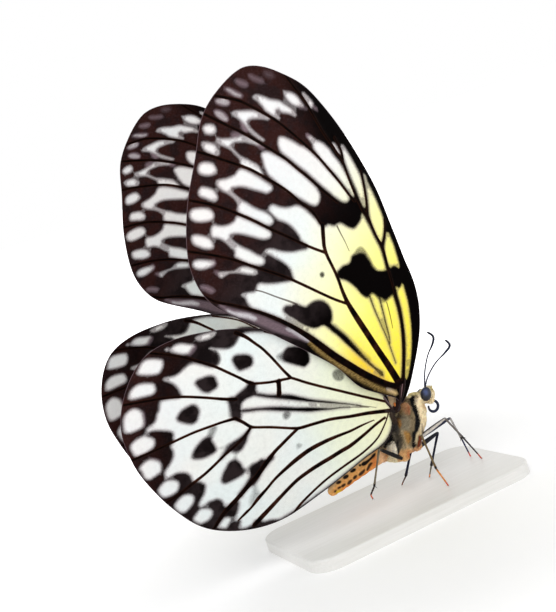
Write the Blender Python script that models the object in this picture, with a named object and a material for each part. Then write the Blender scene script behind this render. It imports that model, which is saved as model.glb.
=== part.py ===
"""Paper kite butterfly, life size, standing on a flat base with its wings raised over its back.

Every table below is in millimetres. Body points are (forward, left, up) from the insect's own
centre, a point on its middle plane beside the forewing roots. Wing points are (aft, up) from the
forewing's root in the side view, and the wing's camber gives the third direction.
"""
import math

import bmesh
import bpy
from mathutils import Vector
from mathutils.geometry import delaunay_2d_cdt
from mathutils.geometry import interpolate_bezier
from mathutils.geometry import intersect_point_line

MM = 0.001
GAP = 0.3                    # clearance between neighbouring pieces

# ---- stand and stance ----
BASE_LENGTH = 50.0
BASE_WIDTH = 30.0
BASE_THICKNESS = 2.5
BASE_CORNER = 5.0
BASE_EDGE = 0.5
BODY_FORWARD = 8.0           # the insect's centre, forward of the base's centre
FOOT_DROP = 21.2             # from the insect's centre down to the soles
BODY_LEVEL = BASE_THICKNESS + GAP + FOOT_DROP

# ---- wings ----
HINGE_LATERAL = 3.2          # wing hinges, from the middle plane
HINGE_AFT = 1.0
HINGE_UP = -3.5
FOREWING_LIFT = 1.1          # the forewing lies outside the hindwing by this much
HINDWING_LIFT = 0.0
HINGE_FLARE = 8.0            # outward sweep gained within a few FLARE_REACHes of the hinge
FLARE_REACH = 15.0
CAMBER_SPAN = 50.0           # the three camber terms below are outward travel at this distance
CAMBER_UP = 5.1
CAMBER_AFT = -7.8
CAMBER_TWIST = 15.6
MEMBRANE = 0.5               # thickness between the veins
VEIN_RISE = 0.18             # a vein's crest above each face
VEIN_HALF_WIDTH = 0.55
VEIN_STEP = 4.2
RIM_STEP = 3.0
FIELD_STEP = 7.0             # spacing of the points between veins
POINT_CLEARANCE = 0.4
FIELD_CLEARANCE = 3.0
RIM_CLEARANCE = 1.0

FOREWING_OUTLINE = [
    (2.0, -2.8), (0.6, -1.6), (-1.5, 3.7), (-4.1, 9.7), (-5.7, 18.3), (-5.5, 24.9),
    (-3.9, 31.5), (-2.2, 38.9), (0.2, 45.7), (3.0, 51.7), (6.0, 56.6), (9.2, 60.6),
    (12.7, 63.2), (18.0, 65.9), (22.3, 66.4), (27.8, 63.9), (31.3, 60.7), (33.8, 55.0),
    (37.0, 47.6), (38.7, 39.5), (38.0, 33.9), (35.6, 29.4), (27.6, 22.0), (20.7, 15.5),
    (15.2, 10.0), (11.2, 4.4), (6.4, 0.8), (3.4, -1.2),
]
FOREWING_VEINS = {
    "subcosta": [(0.9, -0.4), (-0.9, 4.6), (-2.7, 10.0), (-4.2, 18.0), (-4.1, 24.0),
                 (-2.6, 31.0), (-1.2, 38.0), (0.8, 43.6)],
    "radius": [(1.1, -0.6), (1.0, 2.0), (0.0, 7.4), (-0.9, 16.5), (-0.4, 24.9), (1.4, 34.8),
               (2.9, 38.8), (4.2, 46.8)],
    "r1": [(-0.3, 28.7), (-1.7, 30.2), (-2.1, 33.1)],
    "r2": [(1.4, 34.8), (0.8, 38.0), (0.5, 42.0)],
    "r4": [(4.2, 46.8), (3.9, 48.9), (6.9, 53.9), (10.4, 58.7), (13.1, 62.9)],
    "r5": [(4.2, 46.8), (7.4, 52.1), (12.1, 57.3), (21.4, 64.8)],
    "m1": [(3.3, 38.5), (6.0, 43.1), (11.4, 50.8), (18.0, 57.6), (27.0, 63.1)],
    "m2": [(9.2, 38.2), (12.1, 44.9), (18.3, 51.6), (30.3, 61.0)],
    "m3": [(11.7, 36.0), (15.0, 41.4), (20.5, 47.6), (26.8, 52.4), (33.1, 55.6)],
    "cu1": [(12.4, 31.6), (19.2, 36.9), (25.5, 42.2), (36.0, 48.3)],
    "cu2": [(10.2, 20.8), (17.8, 27.0), (24.2, 32.1), (37.8, 40.2)],
    "anal": [(2.2, 0.4), (4.1, 2.4), (9.4, 6.4), (15.7, 13.1), (20.8, 19.4), (28.9, 26.3),
             (36.8, 31.8)],
    "cubitus": [(1.6, -0.4), (4.1, 5.4), (7.5, 14.4), (10.0, 20.6), (12.4, 31.4), (11.7, 36.0)],
    "cell_end": [(11.7, 36.0), (9.2, 38.2), (6.6, 38.0), (3.3, 38.5)],
}
HINDWING_OUTLINE = [
    (4.6, -2.9), (5.2, 0.8), (9.2, 6.8), (14.0, 12.9), (19.5, 18.1), (24.5, 21.0), (31.7, 23.9),
    (37.3, 25.5), (44.7, 26.4), (50.1, 25.0), (54.5, 19.9), (56.6, 13.5), (56.1, 7.0),
    (54.6, 2.0), (51.2, -4.9), (46.8, -10.5), (40.4, -13.6), (33.2, -14.3), (24.8, -12.3),
    (14.0, -9.4), (8.6, -8.4), (5.6, -6.2),
]
HINDWING_VEINS = {
    "subcosta": [(6.3, -0.6), (9.6, 4.0), (15.0, 11.0), (21.0, 16.8), (27.5, 21.2),
                 (31.0, 22.4)],
    "radius": [(5.6, -1.6), (9.7, 1.5), (19.2, 7.8), (24.6, 11.6)],
    "rs": [(24.6, 11.6), (28.5, 19.2), (32.6, 23.0)],
    "cell_top": [(24.6, 11.6), (28.6, 12.3), (32.5, 13.3)],
    "m1": [(32.5, 13.3), (38.2, 19.2), (43.2, 22.8), (48.4, 24.9)],
    "cell_end": [(32.5, 13.3), (35.5, 11.2), (36.4, 8.1)],
    "m2": [(35.5, 11.2), (42.2, 14.7), (54.4, 18.0)],
    "m3": [(36.4, 8.1), (45.2, 8.3), (55.4, 7.4)],
    "cubitus": [(5.7, -3.1), (10.7, -1.4), (19.9, 0.7), (26.0, 1.3), (33.9, 5.4), (36.4, 8.1)],
    "cu1": [(33.9, 5.4), (35.8, 3.2), (42.0, 1.0), (51.6, -2.8)],
    "cu2": [(26.0, 1.3), (32.0, -1.4), (39.1, -6.4), (45.3, -11.0)],
    "a1": [(6.7, -3.6), (13.0, -3.2), (21.6, -2.8), (28.3, -4.4), (34.5, -7.4), (41.8, -12.2)],
    "a2": [(6.8, -4.4), (16.1, -5.4), (24.8, -7.4), (31.9, -10.3), (37.8, -13.2)],
    "a3": [(7.3, -5.6), (13.8, -8.1), (22.6, -10.0), (30.0, -13.0)],
}
# The left wings are set a little further round than the right ones. At CAMBER_SPAN from the hinge
# each term moves a point of the plan by this much, aft and then up. The terms are the plan's aft,
# up, aft squared, aft times up and up squared.
FOREWING_SET = ((-2.04, 1.98, 2.67, -3.48, 0.04), (14.36, 6.94, -12.67, -14.72, -2.08))
HINDWING_SET = ((-0.69, -2.70, -0.15, 1.36, 5.14), (5.39, 13.72, -3.54, -11.29, -12.22))
# The thick root that joins each wing to the thorax: its centreline and radii.
FOREWING_ROOT = [((-1.3, -2.2, -6.4), 1.5), ((-1.4, -3.6, -4.2), 1.3), ((-1.1, -4.7, -1.9), 0.7),
                 ((-0.9, -5.4, -0.2), 0.4)]
HINDWING_ROOT = [((-4.0, -1.8, -9.0), 1.4), ((-4.8, -3.6, -6.6), 1.2), ((-6.0, -5.4, -4.4), 0.6)]

# ---- body: (top forward, top up, bottom forward, bottom up, half width) ----
THORAX = [
    (3.9, -4.5, 4.1, -6.1, 0.7), (3.3, -3.1, 4.6, -7.7, 1.7), (2.0, -3.2, 4.1, -8.6, 2.65),
    (0.0, -3.9, 3.1, -10.5, 3.4), (-2.4, -5.2, 1.3, -12.5, 3.6), (-4.8, -7.2, -1.5, -14.1, 3.25),
    (-6.6, -9.3, -4.0, -15.1, 2.6), (-7.4, -10.9, -6.0, -14.4, 1.7),
    (-7.6, -12.0, -7.1, -13.3, 0.7),
]
ABDOMEN = [
    (-5.6, -10.6, -5.6, -13.6, 1.5), (-8.0, -10.1, -8.0, -13.8, 1.8),
    (-11.5, -10.7, -11.5, -14.4, 1.85), (-15.0, -11.5, -15.0, -15.0, 1.7),
    (-18.0, -12.5, -18.0, -15.6, 1.4), (-20.0, -13.4, -20.0, -15.8, 0.95),
    (-20.9, -14.2, -20.9, -15.2, 0.4),
]
HEAD = [
    (3.3, -4.3, 3.3, -5.6, 0.8), (4.4, -3.2, 4.4, -6.2, 1.5), (5.4, -2.8, 5.3, -6.3, 1.6),
    (6.3, -2.9, 5.9, -6.1, 1.2), (7.0, -3.35, 6.6, -5.6, 0.75), (7.45, -4.0, 7.2, -5.0, 0.35),
]
BODY_SIDES = 18

# ---- head's parts ----
EYE_CENTRE = (5.2, 1.55, -4.1)
EYE_RADII = (1.05, 0.75, 1.45)
EYE_TILT = math.radians(20.0)
PALP_PATH = [(5.6, 0.9, -6.0), (6.1, 1.05, -6.3), (6.6, 1.12, -5.7), (7.0, 1.1, -4.9), (7.25, 1.0, -4.2)]
PALP_RADII = [0.4, 0.42, 0.4, 0.36, 0.2]
COIL_CENTRE = (6.7, -7.6)
COIL_RADIUS = 1.0
COIL_TUBE_RADIUS = 0.25
COIL_START = math.radians(112.0)
COIL_SWEEP = math.radians(-312.0)
COIL_STEPS = 16
ANTENNA_SHAFT = 0.25
ANTENNA_CLUB = 0.34
ANTENNAE = {
    "antenna_right": [(5.9, -0.5, -3.6), (6.2, -0.7, -2.5), (7.0, -1.5, -0.8), (8.8, -2.7, 1.3),
                      (10.9, -4.0, 2.8), (12.1, -4.5, 3.9), (11.5, -4.5, 5.3)],
    "antenna_left": [(6.2, 0.5, -3.8), (6.7, 0.7, -2.7), (8.2, 1.8, -0.5), (10.6, 3.1, 2.0),
                     (13.1, 4.2, 3.7), (13.8, 4.5, 4.9), (12.8, 4.5, 6.3)],
}

# ---- legs: hip, knee, ankle and toe. The right hind foot is lifted off the base. ----
LEGS = {
    "foreleg_right": [(1.0, -1.1, -11.0), (7.4, -2.2, -10.4), (9.9, -2.0, -15.4), (12.8, -1.4, -21.2)],
    "foreleg_left": [(1.1, 1.1, -11.6), (10.8, 2.2, -11.9), (11.9, 2.7, -16.9), (12.7, 2.8, -21.2)],
    "midleg_right": [(-0.3, -1.2, -12.4), (-0.1, -4.9, -10.7), (-0.1, -6.4, -17.5), (0.7, -7.6, -21.2)],
    "midleg_left": [(-1.2, 1.0, -13.3), (7.0, 2.4, -13.7), (3.2, 2.4, -19.5), (1.8, 1.8, -21.2)],
    "hindleg_right": [(-4.3, -2.0, -14.0), (-9.5, -3.8, -9.8), (-13.0, -3.8, -16.5),
                      (-14.3, -3.9, -17.8)],
    "hindleg_left": [(-2.9, 0.9, -13.4), (1.7, 4.9, -14.6), (-1.9, 4.8, -20.0), (-3.2, 4.9, -21.2)],
}
FEMUR_RADIUS = 0.42
TIBIA_RADIUS = 0.28
TARSUS_RADIUS = 0.25
TOE_RADIUS = 0.2
LEG_BEND = 0.9               # length of path rounded off at a knee or ankle
SOLE_DEPTH = 0.4             # a foot is made this much too long and cut off level

# ---- finishes: colour, roughness ----
BLACK_BROWN = (0.03, 0.018, 0.012)
FINISHES = {
    "forewing": ((0.80, 0.79, 0.62), 0.55),
    "hindwing": ((0.83, 0.86, 0.78), 0.55),
    "thorax": ((0.42, 0.34, 0.22), 0.85),
    "abdomen": ((0.78, 0.47, 0.20), 0.75),
    "head": ((0.80, 0.68, 0.45), 0.8),
    "eye": ((0.02, 0.03, 0.06), 0.15),
    "palp": ((0.78, 0.68, 0.48), 0.8),
    "proboscis": ((0.02, 0.02, 0.04), 0.35),
    "antenna": ((0.03, 0.03, 0.06), 0.45),
    "leg": (BLACK_BROWN, 0.5),
    "stand": ((0.86, 0.86, 0.85), 0.5),
}


# ---- scene, collections and materials ----
def clear_scene():
    for thing in list(bpy.data.objects):
        bpy.data.objects.remove(thing, do_unlink=True)


def new_collection(name):
    collection = bpy.data.collections.new(name)
    bpy.context.scene.collection.children.link(collection)
    return collection


def finish_for(name, kind):
    """A Principled material of its own for one piece."""
    colour, roughness = FINISHES[kind]
    material = bpy.data.materials.new(name + "_finish")
    material.use_nodes = True
    shader = material.node_tree.nodes["Principled BSDF"]
    shader.inputs["Base Color"].default_value = (*colour, 1.0)
    shader.inputs["Roughness"].default_value = roughness
    shader.inputs["Metallic"].default_value = 0.0
    return material


# ---- curves ----
def smooth_path(points, closed=False, steps=6):
    """Points along one smooth curve through the given points."""
    knots = [Vector(point) for point in points]
    count = len(knots)
    path = []
    for index in range(count if closed else count - 1):
        start = knots[index]
        end = knots[(index + 1) % count]
        before = knots[index - 1] if closed or index > 0 else start
        after = knots[(index + 2) % count] if closed or index + 2 < count else end
        reach = (end - start).length / 3
        leave = start + (end - before).normalized() * reach
        arrive = end - (after - start).normalized() * reach
        path += interpolate_bezier(start, leave, arrive, end, steps + 1)[:-1]
    return path if closed else path + [knots[-1]]


def even_points(path, step, closed=False):
    """The path resampled so that its points lie about a step apart."""
    knots = path + [path[0]] if closed else path
    travelled = [0.0]
    for start, end in zip(knots, knots[1:]):
        travelled.append(travelled[-1] + (end - start).length)
    pieces = max(2, round(travelled[-1] / step))
    points = []
    index = 0
    for number in range(pieces if closed else pieces + 1):
        goal = travelled[-1] * number / pieces
        while index < len(knots) - 2 and travelled[index + 1] < goal:
            index += 1
        share = (goal - travelled[index]) / (travelled[index + 1] - travelled[index])
        points.append(knots[index].lerp(knots[index + 1], min(1.0, share)))
    return points


def rounded_joints(joints, bend):
    """A path through joints whose inner corners are cut off, so that a tube turns them."""
    knots = [Vector(joint) for joint in joints]
    path = [knots[0]]
    for before, corner, after in zip(knots, knots[1:], knots[2:]):
        path.append(corner + (before - corner).normalized() * bend)
        path.append(corner)
        path.append(corner + (after - corner).normalized() * bend)
    return path + [knots[-1]]


# ---- solids ----
def mesh_object(name, bm):
    """An object from a bmesh in millimetres, which it frees."""
    bmesh.ops.recalc_face_normals(bm, faces=bm.faces)
    bmesh.ops.scale(bm, vec=Vector((MM, MM, MM)), verts=bm.verts)
    mesh = bpy.data.meshes.new(name)
    bm.to_mesh(mesh)
    bm.free()
    return bpy.data.objects.new(name, mesh)


def lofted_body(name, stations, grow=0.0):
    """A closed body through oval sections, each given by its top, bottom and half width."""
    tops = [Vector((station[0], 0.0, station[1])) for station in stations]
    lows = [Vector((station[2], 0.0, station[3])) for station in stations]
    middles = [(top + low) / 2 for top, low in zip(tops, lows)]
    front = (middles[0] - middles[1]).normalized() * grow
    rear = (middles[-1] - middles[-2]).normalized() * grow
    middles[0] += front
    middles[-1] += rear
    bm = bmesh.new()
    rings = []
    for top, low, middle, station in zip(tops, lows, middles, stations):
        up = (top - low) / 2
        up += up.normalized() * grow
        half_width = station[4] + grow
        ring = []
        for side in range(BODY_SIDES):
            angle = 2 * math.pi * side / BODY_SIDES
            across = Vector((0, math.sin(angle) * half_width, 0))
            ring.append(bm.verts.new(middle + up * math.cos(angle) + across))
        rings.append(ring)
    for ring, following in zip(rings, rings[1:]):
        for side in range(BODY_SIDES):
            after = (side + 1) % BODY_SIDES
            bm.faces.new((ring[side], ring[after], following[after], following[side]))
    bm.faces.new(rings[0])
    bm.faces.new(rings[-1])
    return mesh_object(name, bm)


def ellipsoid(name, centre, radii, tilt, grow=0.0):
    """An ellipsoid whose upright axis leans forward by the tilt."""
    bm = bmesh.new()
    bmesh.ops.create_uvsphere(bm, u_segments=16, v_segments=10, radius=1.0)
    for vert in bm.verts:
        x, y, z = (size * (radius + grow) for size, radius in zip(vert.co, radii))
        leaned = (x * math.cos(tilt) + z * math.sin(tilt), y, z * math.cos(tilt) - x * math.sin(tilt))
        vert.co = Vector(leaned) + Vector(centre)
    return mesh_object(name, bm)


def tube(name, path, radii):
    """A closed tube through a path, with a radius at each of its points."""
    curve = bpy.data.curves.new(name + "_curve", "CURVE")
    curve.dimensions = "3D"
    curve.bevel_depth = MM
    curve.bevel_resolution = 2
    curve.use_fill_caps = True
    spline = curve.splines.new("POLY")
    spline.points.add(len(path) - 1)
    for point, place, radius in zip(spline.points, path, radii):
        point.co = (*(Vector(place) * MM), 1.0)
        point.radius = radius
    line = bpy.data.objects.new(name + "_line", curve)
    bpy.context.scene.collection.objects.link(line)
    evaluated = line.evaluated_get(bpy.context.evaluated_depsgraph_get())
    mesh = bpy.data.meshes.new_from_object(evaluated)
    bpy.data.objects.remove(line, do_unlink=True)
    bm = bmesh.new()
    bm.from_mesh(mesh)
    bmesh.ops.remove_doubles(bm, verts=bm.verts, dist=1e-6)
    bmesh.ops.recalc_face_normals(bm, faces=bm.faces)
    bm.to_mesh(mesh)
    bm.free()
    return bpy.data.objects.new(name, mesh)


def keep_largest(mesh):
    """Drop all but the closed surface with the most volume."""
    bm = bmesh.new()
    bm.from_mesh(mesh)
    waiting = set(bm.faces)
    islands = []
    while waiting:
        island = {waiting.pop()}
        edge_of_island = list(island)
        while edge_of_island:
            face = edge_of_island.pop()
            for edge in face.edges:
                for other in edge.link_faces:
                    if other in waiting:
                        waiting.remove(other)
                        island.add(other)
                        edge_of_island.append(other)
        islands.append(island)

    def volume(island):
        total = 0.0
        for face in island:
            total += face.normal.dot(face.calc_center_median()) * face.calc_area() / 3
        return abs(total)

    islands.sort(key=volume)
    for island in islands[:-1]:
        bmesh.ops.delete(bm, geom=list(island), context="FACES")
    bm.to_mesh(mesh)
    bm.free()


def combine(target, others, operation):
    """Join the others to the target, or cut them from it, and remove them."""
    group = new_collection(target.name + "_" + operation.lower())
    home = bpy.context.scene.collection
    home.objects.link(target)
    for other in others:
        group.objects.link(other)
        other.hide_render = True
        other.display_type = "WIRE"
    modifier = target.modifiers.new(operation.lower(), "BOOLEAN")
    modifier.operation = operation
    modifier.operand_type = "COLLECTION"
    modifier.collection = group
    modifier.solver = "EXACT"
    evaluated = target.evaluated_get(bpy.context.evaluated_depsgraph_get())
    mesh = bpy.data.meshes.new_from_object(evaluated)
    target.modifiers.clear()
    target.data = mesh
    home.objects.unlink(target)
    for other in others:
        bpy.data.objects.remove(other, do_unlink=True)
    bpy.data.collections.remove(group)
    keep_largest(mesh)
    return target


def mirrored(thing):
    """The object with its mesh moved to the other side of the middle plane."""
    bm = bmesh.new()
    bm.from_mesh(thing.data)
    for vert in bm.verts:
        vert.co.y = -vert.co.y
    bmesh.ops.reverse_faces(bm, faces=bm.faces)
    bm.to_mesh(thing.data)
    bm.free()
    return thing


# ---- wings ----
def outward(aft, up, lift):
    """How far the right wing's middle surface stands off the middle plane."""
    reach = math.hypot(aft - HINGE_AFT, up - HINGE_UP)
    flare = HINGE_FLARE * (1 - math.exp(-reach / FLARE_REACH))
    rise = up / CAMBER_SPAN
    run = aft / CAMBER_SPAN
    camber = CAMBER_UP * rise ** 2 + CAMBER_AFT * run ** 2 + CAMBER_TWIST * rise * run
    return HINGE_LATERAL + lift + flare + camber


def wing_frame(point, lift):
    """The right wing's middle surface at a point, and its inward normal there."""
    aft, up = point
    nudge = 0.01
    here = outward(aft, up, lift)
    slope_aft = (outward(aft + nudge, up, lift) - here) / nudge
    slope_up = (outward(aft, up + nudge, lift) - here) / nudge
    return Vector((-aft, -here, up)), Vector((-slope_aft, 1.0, slope_up)).normalized()


def left_plan(point, own_set):
    """Where a point of the right wing's plan lies in the left wing's."""
    aft = (point.x - HINGE_AFT) / CAMBER_SPAN
    up = (point.y - HINGE_UP) / CAMBER_SPAN
    terms = (aft, up, aft * aft, aft * up, up * up)
    move_aft, move_up = (sum(gain * term for gain, term in zip(gains, terms)) for gains in own_set)
    return Vector((point.x + move_aft, point.y + move_up))


def distance_to_paths(point, paths):
    nearest = 1e9
    for path in paths:
        for start, end in zip(path, path[1:]):
            foot, share = intersect_point_line(point, start, end)
            foot = start.lerp(end, min(1.0, max(0.0, share)))
            nearest = min(nearest, (point - foot.to_2d()).length)
    return nearest


def inside(point, loop):
    """Whether a point lies within a closed loop."""
    crossings = False
    for start, end in zip(loop, loop[1:] + loop[:1]):
        if (start.y > point.y) != (end.y > point.y):
            where = start.x + (point.y - start.y) * (end.x - start.x) / (end.y - start.y)
            if where > point.x:
                crossings = not crossings
    return crossings


def wing_points(rim, veins):
    """The plan's points and edges: rim, vein crests with a foot on each side, and fields."""
    points = list(rim)
    edges = [(index, (index + 1) % len(rim)) for index in range(len(rim))]

    def place(point, clearance, rim_clearance):
        """The index of the point, or of one that is already there, or None near the rim."""
        for index, other in enumerate(points):
            near = rim_clearance if index < len(rim) else clearance
            if (other - point).length < near:
                return index if index >= len(rim) else None
        if not inside(point, rim):
            return None
        points.append(point)
        return len(points) - 1

    for vein in veins:
        crest = [place(point, POINT_CLEARANCE, RIM_CLEARANCE) for point in vein]
        edges += [(a, b) for a, b in zip(crest, crest[1:]) if a is not None and b is not None and a != b]
    for vein in veins:
        for before, point, after in zip(vein[:1] + vein, vein, vein[1:] + vein[-1:]):
            along = (after - before).normalized()
            across = Vector((-along.y, along.x)) * VEIN_HALF_WIDTH
            for foot in (point + across, point - across):
                if distance_to_paths(foot, veins) > VEIN_HALF_WIDTH * 0.8:
                    place(foot, POINT_CLEARANCE, POINT_CLEARANCE)
    low = Vector((min(p.x for p in rim), min(p.y for p in rim)))
    high = Vector((max(p.x for p in rim), max(p.y for p in rim)))
    for row in range(int((high.y - low.y) / FIELD_STEP) + 1):
        for column in range(int((high.x - low.x) / FIELD_STEP) + 2):
            shift = 0.5 * (row % 2)
            spot = low + Vector((column - shift, row)) * FIELD_STEP
            if distance_to_paths(spot, veins) > FIELD_CLEARANCE:
                place(spot, FIELD_CLEARANCE, FIELD_CLEARANCE)
    return points, edges


def wing(name, outline, vein_table, lift, root, own_set=None):
    """A wing on the right: a cambered membrane with raised veins and a thick root.

    With a set of its own it is the left wing, still to be mirrored.
    """
    rim = even_points([point.to_2d() for point in smooth_path(outline, True)], RIM_STEP, True)
    veins = []
    for route in vein_table.values():
        veins.append(even_points([point.to_2d() for point in smooth_path(route)], VEIN_STEP))
    points, edges = wing_points(rim, veins)
    plan = delaunay_2d_cdt(points, edges, [list(range(len(rim)))], 1, 1e-4)
    flat, triangles = plan[0], plan[2]
    bm = bmesh.new()
    faces = []
    for side in (-1, 1):
        verts = []
        for point in flat:
            middle, inward = wing_frame(left_plan(point, own_set) if own_set else point, lift)
            ridge = max(0.0, 1 - distance_to_paths(point, veins) / VEIN_HALF_WIDTH)
            verts.append(bm.verts.new(middle + inward * side * (MEMBRANE / 2 + VEIN_RISE * ridge)))
        faces.append(verts)
    outer, inner = faces
    for a, b, c in triangles:
        bm.faces.new((outer[a], outer[b], outer[c]))
        bm.faces.new((inner[c], inner[b], inner[a]))
    uses = {}
    for triangle in triangles:
        for a, b in zip(triangle, list(triangle[1:]) + [triangle[0]]):
            uses.setdefault((min(a, b), max(a, b)), []).append((a, b))
    for (a, b), in [found for found in uses.values() if len(found) == 1]:
        bm.faces.new((outer[b], outer[a], inner[a]))
        bm.faces.new((outer[b], inner[a], inner[b]))
    membrane = mesh_object(name, bm)
    stub = tube(name + "_root", [place for place, radius in root], [radius for place, radius in root])
    combine(membrane, [stub], "UNION")
    return combine(membrane, [lofted_body("clearance", THORAX, GAP)], "DIFFERENCE")


# ---- legs ----
def leg(name, joints):
    """A leg from inside the thorax to a level sole."""
    hip, knee, ankle, toe = (Vector(joint) for joint in joints)
    sole = toe + (toe - ankle).normalized() * SOLE_DEPTH
    path = rounded_joints([hip, knee, ankle, sole], LEG_BEND)
    radii = [FEMUR_RADIUS * 0.8, FEMUR_RADIUS, TIBIA_RADIUS * 1.15, TIBIA_RADIUS, TIBIA_RADIUS,
             TARSUS_RADIUS, TARSUS_RADIUS, TOE_RADIUS]
    limb = tube(name, path, radii)
    bm = bmesh.new()
    bmesh.ops.create_cube(bm, size=10.0)
    bmesh.ops.translate(bm, verts=bm.verts, vec=Vector((toe.x, toe.y, -FOOT_DROP - 5.0)))
    ground = mesh_object("ground", bm)
    return combine(limb, [lofted_body("clearance", THORAX, GAP), ground], "DIFFERENCE")


# ---- head ----
def head_piece():
    sockets = [lofted_body("clearance", THORAX, GAP)]
    for side in (-1, 1):
        centre = (EYE_CENTRE[0], side * EYE_CENTRE[1], EYE_CENTRE[2])
        sockets.append(ellipsoid("socket", centre, EYE_RADII, EYE_TILT, GAP))
    return combine(lofted_body("head", HEAD), sockets, "DIFFERENCE")


def palp(name, side):
    path = [(x, side * y, z) for x, y, z in PALP_PATH]
    return combine(tube(name, path, PALP_RADII), [lofted_body("clearance", HEAD, GAP)], "DIFFERENCE")


def proboscis():
    """The coiled tongue, hanging from the underside of the head."""
    path = [Vector((6.3, 0.0, -5.6))]
    radii = [COIL_TUBE_RADIUS]
    for step in range(COIL_STEPS + 1):
        angle = COIL_START + COIL_SWEEP * step / COIL_STEPS
        path.append(Vector((COIL_CENTRE[0] + COIL_RADIUS * math.cos(angle), 0.0,
                            COIL_CENTRE[1] + COIL_RADIUS * math.sin(angle))))
        radii.append(COIL_TUBE_RADIUS)
    return combine(tube("proboscis", path, radii), [lofted_body("clearance", HEAD, GAP)], "DIFFERENCE")


def antenna(name, route):
    path = smooth_path(route, steps=3)
    radii = []
    for number in range(len(path)):
        swell = max(0.0, (number / (len(path) - 1) - 0.62) / 0.38)
        radii.append(ANTENNA_SHAFT + (ANTENNA_CLUB - ANTENNA_SHAFT) * math.sin(swell * math.pi * 0.8))
    return combine(tube(name, path, radii), [lofted_body("clearance", HEAD, GAP)], "DIFFERENCE")


# ---- stand ----
def stand_base():
    bm = bmesh.new()
    bmesh.ops.create_cube(bm, size=1.0)
    bmesh.ops.scale(bm, vec=Vector((BASE_LENGTH, BASE_WIDTH, BASE_THICKNESS)), verts=bm.verts)
    bmesh.ops.translate(bm, vec=Vector((0, 0, BASE_THICKNESS / 2)), verts=bm.verts)
    uprights = [edge for edge in bm.edges if abs(edge.verts[0].co.z - edge.verts[1].co.z) > 1.0]
    bmesh.ops.bevel(bm, geom=uprights, offset=BASE_CORNER, segments=5, profile=0.5,
                    affect="EDGES", clamp_overlap=True)
    top_edges = [edge for edge in bm.edges
                 if all(vert.co.z > BASE_THICKNESS - 0.01 for vert in edge.verts)]
    bmesh.ops.bevel(bm, geom=top_edges, offset=BASE_EDGE, segments=2, profile=0.5,
                    affect="EDGES", clamp_overlap=True)
    return mesh_object("stand_base", bm)


def main():
    clear_scene()
    parts = new_collection("paper_kite_butterfly")
    insect = bpy.data.objects.new("insect", None)
    insect.location = (BODY_FORWARD * MM, 0.0, BODY_LEVEL * MM)
    parts.objects.link(insect)

    def add(thing, kind, parent=insect):
        thing.data.materials.clear()
        thing.data.materials.append(finish_for(thing.name, kind))
        thing.data.shade_smooth()
        thing.data.set_sharp_from_angle(angle=math.radians(40))
        thing.parent = parent
        parts.objects.link(thing)

    add(stand_base(), "stand", None)
    add(lofted_body("thorax", THORAX), "thorax")
    add(combine(lofted_body("abdomen", ABDOMEN), [lofted_body("clearance", THORAX, GAP)],
                "DIFFERENCE"), "abdomen")
    add(head_piece(), "head")
    for side, label in ((-1, "right"), (1, "left")):
        centre = (EYE_CENTRE[0], side * EYE_CENTRE[1], EYE_CENTRE[2])
        add(ellipsoid("eye_" + label, centre, EYE_RADII, EYE_TILT), "eye")
        add(palp("palp_" + label, side), "palp")
    add(proboscis(), "proboscis")
    for name, route in ANTENNAE.items():
        add(antenna(name, route), "antenna")
    for name, joints in LEGS.items():
        add(leg(name, joints), "leg")
    for kind, outline, veins, lift, root, own_set in (
            ("forewing", FOREWING_OUTLINE, FOREWING_VEINS, FOREWING_LIFT, FOREWING_ROOT, FOREWING_SET),
            ("hindwing", HINDWING_OUTLINE, HINDWING_VEINS, HINDWING_LIFT, HINDWING_ROOT, HINDWING_SET)):
        add(wing(kind + "_right", outline, veins, lift, root), kind)
        add(mirrored(wing(kind + "_left", outline, veins, lift, root, own_set)), kind)


main()
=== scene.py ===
"""Looks of the paper kite butterfly: its wings, skin, coat, eyes, legs and the plate it stands on.

Lengths are in millimetres, from the model's origin, unless a name says otherwise. The marks and
veins of the wings are outlines in pixels of the 556 x 612 photograph, laid back onto the wings
through the camera.
"""

import math

import bmesh
import bpy
import numpy as np
from mathutils import Matrix, Vector, noise
from mathutils.geometry import delaunay_2d_cdt, interpolate_bezier


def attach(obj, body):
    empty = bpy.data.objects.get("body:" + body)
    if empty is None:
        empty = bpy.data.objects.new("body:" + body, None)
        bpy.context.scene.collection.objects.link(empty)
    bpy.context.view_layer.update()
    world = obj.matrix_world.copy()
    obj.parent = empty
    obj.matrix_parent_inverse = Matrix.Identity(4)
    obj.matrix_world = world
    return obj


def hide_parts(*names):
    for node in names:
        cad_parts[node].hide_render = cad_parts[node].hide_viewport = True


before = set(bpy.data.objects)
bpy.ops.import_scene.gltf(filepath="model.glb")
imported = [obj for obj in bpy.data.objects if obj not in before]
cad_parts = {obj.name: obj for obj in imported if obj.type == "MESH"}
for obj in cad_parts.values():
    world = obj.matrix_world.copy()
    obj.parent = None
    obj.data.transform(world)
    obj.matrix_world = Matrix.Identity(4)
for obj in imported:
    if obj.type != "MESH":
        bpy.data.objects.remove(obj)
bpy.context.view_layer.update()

MM = 0.001
BODY_FORWARD = 8.0
BODY_LEVEL = 24.0
PLATE = Vector((50.0, 30.0, 2.5))
PLATE_CORNER = 5.0
PLATE_RIM = 0.5
INSECT = Vector((BODY_FORWARD, 0.0, BODY_LEVEL))
CLAW_FLOOR = PLATE.z - BODY_LEVEL + 0.12     # the claws' lowest points, just above the plate

# ---- camera ----
FRAME_WIDTH = 556
FRAME_HEIGHT = 612
CAMERA_PLACE = Vector((-92.53, -216.53, 77.24))
CAMERA_AIM = Vector((0.3520, 0.9272, -0.1281))
CAMERA_UP = Vector((0.3420, 0.0, 0.9397))
LENS = 71.3
SENSOR = 36.0
FOCAL_PIXELS = LENS / SENSOR * FRAME_HEIGHT

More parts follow.
